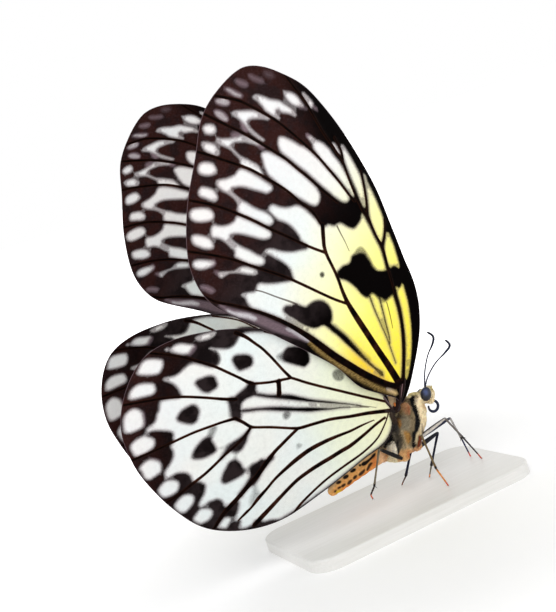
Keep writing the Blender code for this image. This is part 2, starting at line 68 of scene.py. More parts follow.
# ---- studio ----
WORLD_LIGHT = 0.61
FLOOR_RADIUS = 6.0           # m
FLOOR_FADE = (40.0, 160.0)   # mm from the middle: the floor goes over to plain white
LAMP_AIM = Vector((0, 0, 0.045))
# Name, place in m, size in m and power in W.
LAMPS = [("key", (-0.45, -0.55, 0.75), 0.6, 3.2), ("fill", (0.7, -0.5, 0.4), 0.7, 1.1),
         ("rim", (0.1, 0.7, 0.6), 0.6, 1.6)]

# ---- wings: the same sizes as the solids, but for the forewing's front edge ----
HINGE_LATERAL = 3.2
HINGE_AFT = 1.0
HINGE_UP = -3.5
FOREWING_LIFT = 1.1
HINDWING_LIFT = 0.0
HINGE_FLARE = 8.0
FLARE_REACH = 15.0
CAMBER_SPAN = 50.0
CAMBER_UP = 5.1
CAMBER_AFT = -7.8
CAMBER_TWIST = 15.6
FOREWING_OUTLINE = [
    (2.0, -2.8), (0.6, -1.6), (-1.8, 3.7), (-4.3, 9.7), (-5.5, 14.6), (-5.7, 18.3),
    (-5.4, 21.3), (-4.8, 24.2), (-4.2, 28.0), (-3.6, 31.5), (-2.2, 38.9), (0.2, 45.7),
    (3.0, 51.7), (6.0, 56.6), (9.2, 60.6), (12.7, 63.2), (18.0, 65.9), (22.3, 66.4),
    (27.8, 63.9), (31.3, 60.7), (33.8, 55.0), (37.0, 47.6), (38.7, 39.5), (38.0, 33.9),
    (35.6, 29.4), (27.6, 22.0), (20.7, 15.5), (15.2, 10.0), (11.2, 4.4), (6.4, 0.8), (3.4, -1.2),
]
# The left wings' own set, as in the solids.
FOREWING_SET = ((-2.04, 1.98, 2.67, -3.48, 0.04), (14.36, 6.94, -12.67, -14.72, -2.08))
HINDWING_SET = ((-0.69, -2.70, -0.15, 1.36, 5.14), (5.39, 13.72, -3.54, -11.29, -12.22))
HINDWING_OUTLINE = [
    (4.6, -2.9), (5.2, 0.8), (9.2, 6.8), (14.0, 12.9), (19.5, 18.1), (24.5, 21.0), (31.7, 23.9),
    (37.3, 25.5), (44.7, 26.4), (50.1, 25.0), (54.5, 19.9), (56.6, 13.5), (56.1, 7.0),
    (54.6, 2.0), (51.2, -4.9), (46.8, -10.5), (40.4, -13.6), (33.2, -14.3), (24.8, -12.3),
    (14.0, -9.4), (8.6, -8.4), (5.6, -6.2),
]
MEMBRANE = 0.14              # the real membrane, thinner than the solid's
VEIN_RISE = 0.11
LINE_RISE = 0.3              # a fine line's height as a share of a vein's
RIM_TAPER = 0.3              # the wing thins over this distance towards its rim,
RIM_THINNEST = 0.35          # to this share
SIDES_APART = 40.0           # keeps the grain of a wing's two sides apart
STAND_OFF_GUESS = 10.0
STAND_OFF_ROUNDS = 40
RIM_STEP = 0.4
MARK_STEP = 0.4
MARK_OFFSET = 0.1            # mesh points lie this far to each side of a mark's edge
FIELD_STEP = 0.55
FIELD_ROW = 0.87             # distance between rows as a share of the step
VEIN_INSIDE = 0.06           # mesh points inside and outside a vein's edge
VEIN_OUTSIDE = 0.1
RIM_INSET = 0.16
RIM_MARGIN = 0.1
POINT_CLEARANCE = 0.15
SOFT_CLEARANCE = 0.2
FIELD_CLEARANCE = 0.34
FAR_AWAY = 3.0               # distances beyond this aren't needed

SOFT_KINDS = ("smoke", "faint", "strip", "strip_light", "tan")

# ---- wing colours: where they begin and end, in mm from the hinge ----
FOREWING_GOLD = 30.0
FOREWING_BROWN = 38.0
HINDWING_GREEN = 28.0
HINDWING_BROWN = 44.0
BROWN_FADE = 16.0
OUTER_SLOPE = 0.27           # aft per up, of the line from the hinge to the tip
OUTER_PULL = 0.65            # how much sooner the yellow ends behind that line
AMBER_ANGLES = (0.14, 0.36)  # how far behind it the amber begins, as a share of the reach
AMBER_ENDS = (15.0, 30.0)
FROST_ENDS = (38.0, 58.0)
SMOKY_START = (26.0, 33.0)   # behind that line the marks are smoky from here
SMOKY_END = (43.0, 52.0)     # to here
BLUR_ENDS = (12.0, 50.0)     # the marks' edges are crisper near the hinge

# ---- forewing veins: pixels of the nearer wing, with a width in mm where it isn't the usual ----
VEIN_WIDTH = 0.5
FOREWING_VEINS = {
    "radius": [(402.9, 384, 0.6), (403.3, 351.2, 0.65), (401.8, 324.4, 0.6), (397.9, 305.3),
        (394.9, 293.8), (391, 279.5), (386.5, 264.2, 0.6), (381.9, 246.6, 0.6), (376.5, 237.4),
        (371.2, 225.9), (367.3, 216.7, 0.6), (362.7, 210.6, 0.6), (357.4, 199.9, 0.6), (349, 180),
        (341.6, 159)],
    "r1": [(381.5, 246), (384, 236), (384.5, 226), (384, 219)],
    "r2": [(367.3, 216.7), (366.6, 208), (365.4, 197), (363.2, 184), (360.5, 171.4)],
    "r3": [(342.5, 160), (341, 152), (338.5, 146), (334, 137)],
    "r4": [(341.6, 159), (337, 153.5), (331.5, 145), (322, 131), (309.7, 109.7), (302, 97.5),
        (293.8, 87.4), (284, 74)],
    "r5": [(354, 201), (347, 192.5), (338.3, 181), (327, 167.5), (317, 156), (306.5, 146.1), (293.8, 135),
        (278.5, 122.5), (265, 114), (252, 107), (238, 100.5), (212, 95)],
    "m1": [(337, 202), (322, 190), (310, 179), (297, 168.5), (285, 158.5), (270, 149), (255, 140),
        (240, 131.5), (225, 124.5), (208, 116), (202, 113)],
    "m2": [(320, 223), (311.5, 210.6), (301.4, 203.6), (287.1, 191.1), (269.3, 180), (251.4, 170),
        (240, 165.5), (222, 159.5), (205, 154), (193, 150.5)],
    "m3": [(324, 252.3), (308.6, 246.4), (287.1, 236.5), (269.3, 228.5), (251.4, 219.5), (237, 213.5),
        (220, 207), (206, 203.5), (188, 200)],
    "cu1": [(346.3, 303.5), (331.8, 298.2), (305, 285.7), (287.1, 277.7), (269.3, 271.5), (251.4, 265.8),
        (233.6, 259.7), (215.7, 255.6), (200, 253), (186, 251)],
    "anal": [(396, 386, 1.0), (386, 383.5, 1.1), (375, 379, 1.2), (363, 373.3, 1.3), (346.5, 363.4, 1.3),
        (331, 353.4, 1.25), (316, 342, 1.1), (300, 331.2, 0.9), (287, 323.8, 0.75), (270, 316, 0.65),
        (252, 309.8, 0.55), (232, 304.8, 0.5), (215, 301.5), (200, 294)],
    "cubitus": [(399.5, 384, 1.5), (388.5, 366, 1.35), (377, 349, 1.25), (365, 330.6, 1.2),
        (354, 313.7, 1.1), (346.8, 301.5, 0.85), (342, 290.5, 0.7), (337.5, 278, 0.65), (332.9, 268, 0.6),
        (327, 256, 0.65), (324, 247, 0.75), (323, 237, 0.85), (322.2, 225, 0.9)],
}
FOREWING_LINES = {
    "cell_line_fore": [(369.3, 296, 0.3), (374.3, 309.3, 0.25), (380, 322.5, 0.22),
                       (386, 336, 0.2), (390, 347, 0.18), (395.6, 363, 0.1)],
    "cell_line_mid": [(379.3, 298, 0.3), (382.9, 312.1, 0.28), (385.7, 324, 0.28),
                      (388.6, 335, 0.26), (389.8, 343, 0.15)],
}
FOREWING_HAIRLINES = {
    "cell_line_hind": [(386.4, 302, 0.15), (388.6, 310, 0.18), (390.7, 319, 0.16), (392.5, 328, 0.1)],
    "recurrent": [(336.8, 226, 0.3), (340, 232.5, 0.22), (345, 242, 0.12), (349, 251, 0.08)],
    "cubital_fold": [(255.7, 290, 0.22), (262.9, 291.8, 0.2), (277.1, 297.1, 0.22), (291.4, 302, 0.3),
                     (297, 304.5, 0.3)],
}
FOREWING_LIGHT = {
    "marginal_3": [(226.3, 89), (229, 89.2), (233.5, 91.6), (237, 93.8), (241.2, 95.8), (238, 96.2),
        (233.2, 94.4), (229.5, 91.4)],
    "marginal_4": [(216, 100.9), (219.6, 98.9), (223.9, 98), (226.5, 100.2), (228.8, 102.6), (226, 104.5),
        (220.5, 103.4)],
    "marginal_5": [(214.9, 111.9), (218, 111.6), (222.5, 113.9), (225, 117), (227.2, 119.8), (224, 119.9),
        (218.8, 117)],
    "marginal_6": [(202.4, 128.4), (204.2, 125.2), (208.5, 124), (213.6, 125), (215.6, 129), (215, 133.2),
        (210.5, 134.4), (205.2, 133.5)],
    "marginal_7": [(201.4, 142.9), (203.6, 142), (212.1, 143.2), (215.4, 145.4), (217.5, 148.9),
        (219.3, 151.8), (218.2, 154.6), (215, 155.4), (210, 153.2), (205, 150.7), (202.1, 146.4)],
    "marginal_8": [(201.4, 162.5), (208.6, 162.1), (212.9, 163.6), (215, 166.4), (216.4, 170),
        (216.1, 172.9), (211.4, 175), (207.1, 175.7), (201.4, 174.6), (198.6, 172.9), (197.5, 169.3),
        (198.6, 165)],
    "marginal_9": [(201.4, 186.8), (205.7, 187.1), (210, 188.2), (213.6, 190), (215.7, 192.9),
        (217.5, 196.4), (217.1, 199.3), (215, 201.4), (210, 200.4), (205.7, 198.6), (200, 196.4),
        (197.9, 193.6), (198.9, 189.3)],
    "marginal_10": [(189.3, 215), (190, 211.4), (192.9, 208.9), (199.3, 207.9), (205.7, 208),
        (210, 209.3), (212.9, 212.1), (213.9, 215.4), (213.2, 218.6), (210, 220.7), (203.6, 222),
        (195.7, 221.8), (191.8, 220), (190, 217.9)],
    "marginal_11": [(191.1, 237.9), (192.1, 235.4), (195, 234.6), (200, 235), (205.7, 236.4),
        (210, 238.6), (212.5, 242.1), (213.6, 245.7), (212.9, 248.2), (209.3, 249.1), (204.3, 248.9),
        (198.6, 246.8), (194.3, 245), (191.8, 241.8)],
    "marginal_12": [(192.9, 262.1), (195, 260.4), (200, 259.6), (207.1, 260), (211.4, 260.7),
        (214.6, 262.9), (211.4, 266.1), (207.1, 268.2), (202.9, 269.3), (197.9, 269.3), (193.9, 267.5),
        (192.4, 264.6)],
    "apex_streak": [(302.1, 92.5), (305.7, 95), (309.3, 98.6), (312.9, 103.6), (311.8, 107.5),
        (310, 107.9), (307.1, 102.9), (304.3, 98.6)],
    "apex_patch_fore": [(283.2, 90.7), (285, 91.4), (289.3, 91.8), (293.6, 93.6), (297.1, 96.4),
        (300, 100.7), (302.1, 104.3), (303.6, 106.4), (299.3, 106.4), (295.7, 106.4), (291.4, 104.3),
        (287.9, 101.4), (285, 97.1)],
    "apex_patch_mid": [(252.5, 97.1), (255.7, 94.9), (260, 95.4), (265, 97.1), (270, 99.1),
        (278.6, 100.4), (282.9, 102.9), (287.1, 105.7), (291.4, 108.6), (294.3, 112.1), (295.7, 116.1),
        (291.4, 114.6), (286.4, 113.2), (281.4, 112.5), (278.6, 110), (276.1, 110), (275.7, 112.1),
        (277.9, 115.7), (279.6, 119.3), (276.4, 117.9), (272.1, 115.7), (267.9, 112.9), (264.3, 110),
        (262.1, 106.4), (260, 104.3), (257.1, 100.7)],
    "apex_patch_hind": [(231.4, 113.2), (235, 111.1), (240, 110.6), (250.7, 110.3), (255, 111.1),
        (259.3, 112.9), (265, 115.9), (269.5, 119), (263.6, 118.9), (257.9, 118.6), (252.1, 118.9),
        (248.6, 120), (246.8, 121.6), (248, 125), (250, 127.9), (253.6, 131.4), (257.1, 134.3),
        (261.4, 137.9), (264.3, 140.4), (261, 140.2), (256.5, 137.2), (251.5, 133.6), (248, 130),
        (245.2, 126), (242.3, 122.6), (237.9, 118.4), (234.3, 116.1)],
    "field_r3": [(332.1, 142.9), (335, 144.3), (337.9, 149.3), (340, 155.2), (337.1, 152.9),
        (334.3, 148.6), (332.1, 145)],
    "field_r2": [(341.2, 144.8), (343.6, 146.4), (346.4, 150.7), (350, 156.4), (353.6, 162.9),
        (356.8, 169), (360, 175.7), (362.1, 183.6), (363.6, 190.7), (364.6, 197.9), (365.2, 205),
        (364.4, 207.3), (361.5, 203.5), (358.5, 196), (355.5, 188.5), (352, 180.7), (348.8, 173),
        (345.4, 164.5), (343, 157.1), (341.8, 152.1), (340.7, 147.5)],
    "field_r4": [(307.6, 136.9), (310.4, 136), (312.9, 137.9), (315.7, 140), (320, 141.6), (323.6, 143.8),
        (326.4, 146.4), (329.3, 149.3), (332.1, 153.6), (335, 157.1), (338.4, 161.2), (341.8, 166.6),
        (345.4, 173.2), (349, 180.2), (352, 187.3), (353.7, 192.5), (353.6, 196), (352.1, 196.6),
        (347.9, 190.9), (343.4, 185), (339, 179.5), (335.2, 174.8), (330.7, 170.2), (325.7, 165),
        (321.4, 160.7), (317.9, 155.5), (314.3, 150.5), (312.7, 147.1), (311.8, 142.9)],
    "field_r1": [(363.4, 174), (365.3, 176.4), (366.8, 181.4), (369.3, 186.4), (372.9, 193.6),
        (376.4, 201.4), (379.3, 208.6), (382.1, 215.7), (383.4, 221.4), (383.5, 227.9), (382.7, 235),
        (381.4, 241.5), (380.3, 242.9), (377.4, 237.5), (374.1, 230), (370.7, 221.5), (369, 214.3),
        (368.4, 207), (367.6, 199), (366.2, 190), (364.8, 181)],
    "field_costa": [(386.6, 232.3), (388.6, 233.6), (390.7, 238.6), (393.6, 245.7), (395.7, 252.9),
        (397.9, 260), (398.9, 268.3), (396.4, 266.4), (393.9, 265.4), (392.1, 266.1), (390.4, 267.5),
        (388.7, 265.7), (386.9, 260.7), (385.2, 255), (384.3, 249.5), (384.6, 243.5), (385.8, 237.1)],
    "field_costa_base": [(395.7, 286.4), (398.6, 288.4), (400.6, 286.4), (401.6, 283.6), (402.9, 284.6),
        (404.3, 289.3), (405.7, 294.3), (407.6, 301.4), (409.3, 312), (411, 327), (411.4, 343),
        (410.7, 357.1), (408.6, 371.4), (406.8, 378.5), (405.2, 379), (405.3, 364.3), (405.7, 353.6),
        (405.4, 339.3), (403.8, 325), (401.6, 310.7), (399.2, 301), (397.6, 295.7), (396.5, 289.8)],
    "field_m1": [(278.6, 137.1), (282.9, 136.6), (287.9, 138.6), (293.6, 141.4), (299.3, 145),
        (304.3, 147.1), (309.3, 150.7), (313.6, 154.6), (317.9, 158.6), (325, 166.6), (332.5, 175),
        (338.2, 181.2), (342.7, 186.6), (346.4, 191.8), (349, 196.8), (348.6, 200), (346.4, 202.1),
        (343.6, 202.1), (340, 200.7), (337.1, 198.6), (333.6, 196.4), (330, 192.9), (325.7, 189.5),
        (321.4, 185.9), (316.4, 181.5), (311.4, 177), (306.4, 172.4), (299.3, 167.1), (291.4, 160.7),
        (285, 155.7), (280.7, 152.1), (278.6, 147.9), (277.5, 143.6)],
    "field_m2": [(262.1, 152.1), (265.7, 151.1), (270, 152.1), (275.7, 155), (282.1, 158.6),
        (287.9, 162.3), (295, 168.2), (301.4, 173.2), (307.1, 178.6), (312.9, 184), (315.9, 187),
        (317.9, 190.3), (319.8, 194.3), (319.8, 198.6), (318.6, 202.9), (315.7, 205.7), (310.7, 204.8),
        (305.7, 202.1), (299.3, 198.6), (293.6, 195), (287.9, 191.7), (282.9, 187.9), (277.9, 183.6),
        (273.6, 180), (270, 177.1), (267.1, 174.3), (265.7, 170.7), (263.9, 167.1), (262.9, 162.9),
        (261.8, 158.6), (260.7, 155)],
    "hook_m2": [(216.4, 138.2), (220.7, 138.6), (230.7, 138.2), (235, 137.1), (238.2, 136.8),
        (240.7, 135.4), (245, 136.1), (249.3, 137.9), (252.9, 140), (256.4, 142.1), (259.4, 144),
        (258, 145.4), (252.9, 143.8), (249.3, 142.9), (245.7, 141.8), (240.7, 141.8), (235, 142.1),
        (232.1, 143.6), (230.7, 145.4), (232.1, 147.9), (235, 151.4), (239.3, 155.7), (242.1, 157.1),
        (247.1, 159.3), (252.1, 162.1), (256.4, 164.3), (259.5, 167.1), (262, 170.5), (263.5, 174.5),
        (261.5, 176), (256.4, 173.8), (249.3, 170.5), (242, 167.3), (240.4, 164.3), (240, 160),
        (237.9, 157.1), (234.3, 153.6), (230.7, 149.6), (227.9, 147.9), (223.6, 146.1), (218.6, 143.9),
        (216.6, 142.1)],
    "hook_m3": [(216.4, 180.7), (220.7, 179.3), (225, 178.6), (229.3, 177.1), (234.3, 174.6),
        (236.4, 172.1), (238.2, 169.6), (242.1, 168.6), (249.3, 171.4), (256.4, 175.4), (262.5, 179.3),
        (267.5, 182.6), (271, 185), (272.4, 187.7), (271.5, 190.5), (269.3, 192), (266.4, 193.4),
        (262.1, 192.1), (254.3, 190), (249.3, 188.6), (243.6, 187.1), (238.6, 186.8), (234.3, 187.5),
        (231.4, 188.2), (230.7, 190), (232.1, 192.1), (235, 195), (238.6, 197.9), (242.1, 200.4),
        (247.1, 202.9), (252.5, 206.5), (259.3, 209.6), (265, 211.6), (268.6, 213.6), (271.4, 215.7),
        (273.2, 218.6), (273.4, 221.4), (272.1, 223.9), (269.3, 225.4), (265.7, 225), (259.3, 222.1),
        (249.3, 217.6), (239.3, 213.2), (236.8, 209.3), (237.9, 205), (236.4, 201.5), (233.6, 197.9),
        (230, 195), (226.4, 192.9), (222.1, 190.7), (218.6, 187.9), (216.4, 185), (215.8, 182.5)],
    "hook_cu1": [(210.7, 228.6), (212.1, 225.7), (214.3, 224.6), (217.1, 225.1), (221.4, 225.7),
        (226.4, 225), (230.7, 223.2), (234.3, 220.4), (235.7, 217.1), (237.9, 215.7), (245.7, 218.8),
        (252.9, 221.8), (259.3, 225), (265.7, 228.2), (269.3, 230.6), (271.2, 233.6), (270.4, 237.1),
        (267.1, 238.9), (263.6, 239.4), (258.6, 238.6), (252.1, 236.8), (245, 235), (237.9, 233.7),
        (234.3, 233.9), (230.7, 234.6), (229.6, 236.2), (230.7, 238.6), (234.3, 242.1), (239.3, 245.4),
        (244.3, 247.9), (249.3, 250), (253.6, 252.5), (257.1, 254.6), (261.4, 256.1), (264.1, 258.6),
        (264.8, 260.7), (264, 263.6), (261.4, 265.2), (256.4, 265.4), (249.3, 264), (244.3, 261.9),
        (239.3, 259.4), (235.7, 257.5), (234.3, 256.1), (234.6, 252.1), (233.6, 249.3), (230.7, 247.5),
        (226.4, 242.9), (221.4, 239.6), (217.1, 238.2), (212.1, 237.7), (210.7, 235), (210.4, 231.4)],
    "hook_cu2": [(234.5, 271), (237.9, 268.6), (241.4, 266.9), (246.4, 266.6), (251.4, 268), (255, 269.6),
        (257.3, 272.1), (256.4, 274.1), (252.1, 274.6), (245.7, 273.9), (240, 272.9), (236.4, 272.5),
        (229, 272.9), (226, 274.8), (223.5, 276.4), (221.4, 277.9), (219.3, 276.4), (218.2, 273.6),
        (219.2, 272.3), (224, 271.9), (229, 271.7)],
    "inner_field": [(361.6, 214), (366.4, 221.5), (369.8, 228), (374, 237), (379.5, 247.6), (382.6, 257),
        (385.2, 267), (388, 280), (393, 296.4), (396.5, 308), (399.5, 322), (401.3, 338), (401.8, 357),
        (401.3, 370), (399.5, 380), (391, 383.5), (385.7, 381.4), (375.7, 376.4), (365.7, 371.6),
        (355, 365.9), (344.3, 358.7), (335.7, 352.6), (330, 348.4), (320, 341), (310, 334),
        (302.1, 329.1), (295, 325.2), (287.9, 321.6), (280.7, 318.4), (273.6, 315.4), (266.4, 312.8),
        (259.3, 310.2), (251.8, 307.9), (248.6, 305), (246.4, 301.4), (245, 297.9), (242.3, 295.9),
        (241.2, 294.5), (244.3, 293.2), (249.3, 292.1), (255, 290.9), (256.4, 286.4), (257.7, 283.8),
        (260.4, 282.7), (265, 283.2), (270.7, 283.2), (276.4, 282.9), (281.4, 282.1), (286.4, 281.4),
        (291, 280.5), (293.5, 279), (292.3, 276.4), (291.4, 272.9), (290, 269.3), (287.1, 265.7),
        (283.6, 262.9), (279.3, 260), (275, 257.9), (270, 255), (265.9, 253.2), (264.3, 251.4),
        (265.7, 249.6), (269.3, 248.6), (273.6, 248.9), (277.1, 250), (282.1, 251.1), (287.1, 251.6),
        (292.1, 251.6), (297.1, 250.7), (302.1, 249.6), (307.1, 248.4), (307, 245.4), (303.6, 242.9),
        (300.7, 240.7), (300, 238.6), (298.6, 235.7), (295, 230.7), (291.4, 226.8), (287.1, 223.6),
        (282.1, 221.4), (277.9, 220), (274.3, 217.1), (270.2, 213.6), (268.2, 210), (268.6, 207.1),
        (270, 205.4), (272.9, 204.3), (276.4, 205.4), (280.7, 206.8), (285, 207.3), (289.3, 206.8),
        (292.9, 205.7), (296.4, 205), (300, 206.1), (304.3, 208.6), (308.6, 212.3), (312.9, 216.6),
        (316.4, 220), (318.9, 224), (322.5, 226.5), (326.1, 225.7), (327.9, 224.3), (330.7, 225),
        (334.3, 225.7), (336.4, 224.3), (339.3, 222.9), (342.1, 223.6), (344.3, 225), (347.9, 227.1),
        (351.4, 228.2), (354.3, 228.2), (357.1, 225), (359.3, 222.1), (361.1, 217.9)],
}
FOREWING_DARK = {
    "cell_blotch": [(336.6, 272.3), (340, 268.6), (342.9, 265.7), (346.4, 264.6), (349.3, 262.9),
        (350.7, 260), (351.4, 256.4), (355.7, 254.4), (360, 252.9), (364.3, 253.9), (367.1, 257.9),
        (370, 262.1), (372.1, 266.4), (375, 269.3), (378.6, 270.7), (382.9, 270.7), (386, 270),
        (388.6, 269.3), (390.7, 267.5), (393.6, 265.7), (396.4, 266.8), (399.3, 268.6), (402, 275),
        (401, 283), (398.2, 286.8), (395.7, 286.4), (394.3, 292), (391.5, 295), (387.9, 297.9),
        (385.4, 300.4), (382.9, 298.6), (380.7, 297.5), (377.9, 297.1), (375.7, 295), (372.9, 292.9),
        (370.7, 293.2), (368.5, 296.4), (366.4, 297.1), (362.9, 295.4), (360, 292.9), (357.1, 289.3),
        (353.6, 285.7), (350, 282.9), (346.4, 280.7), (342.9, 279.4), (340, 278.9), (337.1, 277.1)],
    "cubital_blotch": [(282.9, 309.3), (284.3, 306.8), (287.9, 305.4), (291.5, 305.6), (293.6, 303.8),
        (297.9, 304.3), (302.1, 306.1), (306.4, 306.9), (308.6, 305.4), (311.4, 302.9), (315.7, 301.1),
        (320, 300.7), (324.3, 302.1), (327.9, 305), (330.4, 309.3), (331.6, 314.3), (331.4, 319.3),
        (330.8, 322.5), (333.5, 325.6), (337.1, 328.8), (342.1, 332.6), (346.4, 336.4), (350, 340.4),
        (357, 348), (365.7, 358.2), (375, 366.8), (383.5, 375.6), (374.5, 369), (365, 361.2),
        (356.5, 353.6), (350, 347.4), (346.4, 344.2), (342.1, 340), (337.1, 335.2), (332.1, 331.6),
        (328.6, 328.4), (324.3, 325.4), (321.4, 325.4), (319.3, 326.6), (316.4, 327.9), (312.1, 327.9),
        (307.9, 326.6), (303.6, 325), (298.6, 322.1), (293.6, 318.6), (289.3, 316.4), (285.7, 313.6),
        (283.6, 311.4)],
}
# Soft marks: strength, softness in mm, outline.
FOREWING_SMOKE = {
    "blotch_fringe": (0.55, 0.25, [(352, 257), (354.5, 252), (356.8, 248.4), (360, 246.6), (363.4, 248.2),
        (366.8, 252.6), (370.2, 258.5), (373, 264.5), (376, 269.5), (370, 268), (362, 258), (356, 258)]),
    "blotch_fringe_low": (0.5, 0.25, [(352, 283), (358, 289), (362, 294.5), (366.5, 298.6), (369, 298),
        (372.5, 294), (378, 299.5), (383.5, 302.6), (390, 298.2), (394.5, 293.5), (386, 290),
        (364, 288)]),
    "dot": (0.85, 0.22, [(319.6, 274), (321, 271.9), (323.4, 272.4), (324.2, 274.8), (322.9, 277.3),
        (320.6, 277)]),
    "hook_fade_m2": (0.5, 0.3, [(259, 164.5), (261.5, 167), (264.5, 171.5), (269.3, 177), (266, 179),
        (262.5, 174), (260, 170)]),
    "hook_fade_m3": (0.35, 0.3, [(266, 211), (270, 212), (274.5, 217), (277, 221), (273.6, 221.5),
        (270.5, 216)]),
    "cubital_notch": (0.5, 0.3, [(306, 306.5), (310, 302.8), (315, 300.2), (321, 299.6), (327, 303),
        (331.2, 309), (332.6, 316), (331.8, 322), (329, 318), (326, 308), (318, 303.4), (310, 306.5)]),
    "streak_edge": (0.45, 0.4, [(333, 324.2), (340, 329), (347, 335), (355, 343.5), (363, 352.5),
        (371, 360.8), (364, 359), (353, 348), (341, 336)]),
}
FOREWING_FAINT = {
    "apex_haze_0": (0.16, 0.5, [(264, 72), (268, 71.5), (272, 73.5), (273, 77), (269, 77.5),
        (265, 75.5)]),
    "apex_haze_1": (0.3, 0.35, [(248.3, 74.2), (256, 76.6), (263.3, 80.2), (263, 83.1), (257, 82.2),
        (250, 78.5)]),
    "apex_haze_2": (0.38, 0.35, [(235, 80), (240, 79.8), (246, 82), (248, 85.2), (245, 87), (239, 85.3)]),
    "apex_haze_3": (0.45, 0.4, [(224.5, 88.6), (229, 88.4), (236, 91.5), (242.4, 95.6), (240, 97.2),
        (232, 95)]),
    "spot_haze_4": (0.45, 0.3, [(214.6, 100.9), (219, 97.9), (225, 97.4), (229.8, 101.6), (228.8, 104.8),
        (224, 105.6), (218, 104.4)]),
    "spot_haze_5": (0.5, 0.3, [(213.6, 110.9), (219, 110.4), (225, 113.6), (228.2, 119.6), (226, 121.6),
        (219.5, 118.6)]),
    "hook_haze_m1": (0.5, 0.3, [(240.2, 120.6), (244, 124), (248.6, 131.2), (246.2, 132.2),
        (242.4, 130.2), (241, 126)]),
    "hook_haze_m2": (0.42, 0.4, [(231, 134), (234, 131.6), (238.4, 132.3), (241, 134.6), (238, 137),
        (232, 137.8)]),
    "hook_haze_m2_end": (0.5, 0.4, [(256, 142), (261, 144.6), (264.5, 147.5), (262.5, 149.5),
        (258.5, 147)]),
    "spot_haze_12": (0.45, 0.3, [(212, 259.8), (215.6, 262.2), (215.4, 264.6), (211.5, 266.8)]),
    "marginal_13": (0.5, 0.35, [(200.4, 285.7), (205.7, 285.5), (210, 287.1), (214.3, 290),
        (212.9, 292.9), (210, 292.9), (205.7, 290.7), (201.4, 288.6)]),
    "hook_haze_cu2": (0.4, 0.3, [(214.6, 271.6), (219, 271.4), (219.6, 276.2), (217, 275)]),
    "patch_haze_2": (0.35, 0.4, [(300, 101), (304, 106.8), (307, 109), (303, 108.4), (298, 107)]),
    "streak_haze": (0.4, 0.3, [(311, 104), (314.5, 106), (317.4, 110), (314.6, 109.6)]),
    "field_haze_r4": (0.55, 0.3, [(305.6, 133.8), (309, 134.6), (311.6, 137.4), (308, 138.6)]),
}
# The strip behind the anal vein: grey beyond the middle, tan towards the root.
FOREWING_STRIP = {
    "strip_outer": (0.75, 0.3, [(219, 304), (228, 307.2), (240, 310.3), (250, 312.5), (258, 314.8),
                                (266, 317.5), (274, 321), (281, 324), (288, 328), (295, 332),
                                (302, 336), (309, 340.4), (306, 341.8), (299, 339), (292, 337),
                                (284, 334.5), (276, 332), (268, 328.5), (260, 325),
                                (252, 321.5), (244, 319), (236, 316), (229, 313.2), (222, 309)]),
}
FOREWING_STRIP_LIGHT = {
    "strip_streak_outer": (0.9, 0.25, [(226.5, 309.4), (230.7, 311), (235, 312), (240, 312.5),
        (244.3, 313.2), (249.3, 313.9), (252.9, 315.7), (256.4, 317.9), (256.4, 320), (252.9, 320),
        (247.9, 318.2), (242.1, 317.1), (237.1, 315.7), (232.9, 313.9), (229.3, 312.4)]),
    "strip_streak_inner": (0.75, 0.25, [(285.5, 327.5), (290, 328.2), (295, 330.4), (300.7, 333.8),
        (305.7, 337.3), (310.4, 341), (308, 341.6), (302.1, 338.6), (298.6, 336.8), (295, 334.3),
        (291.4, 332.1), (287.5, 330.5)]),
    "strip_end": (0.8, 0.35, [(386.5, 388.6), (390, 388.8), (394, 390.4), (397, 393), (395.5, 394.6),
        (391.5, 393.2), (388, 391.4)]),
}
FOREWING_TAN = {
    "strip_inner": (0.5, 0.35, [(309, 341), (316, 346.3), (323, 351.6), (330, 357), (337, 361.8),
        (348, 367.8), (358, 374.6), (368, 380.6), (378, 385.6), (388, 390), (391, 393.4), (384, 392.4),
        (375, 389), (365, 383.6), (352, 376.2), (342, 370.2), (333, 363.8), (322, 355.6), (314, 349.3)]),
    "strip_glow": (0.55, 0.5, [(349, 373.2), (356, 376.6), (366, 382.6), (376, 387.2), (386, 389.4),
        (392, 391.4), (389, 393), (380, 390.4), (369, 385.6), (358, 380)]),
}

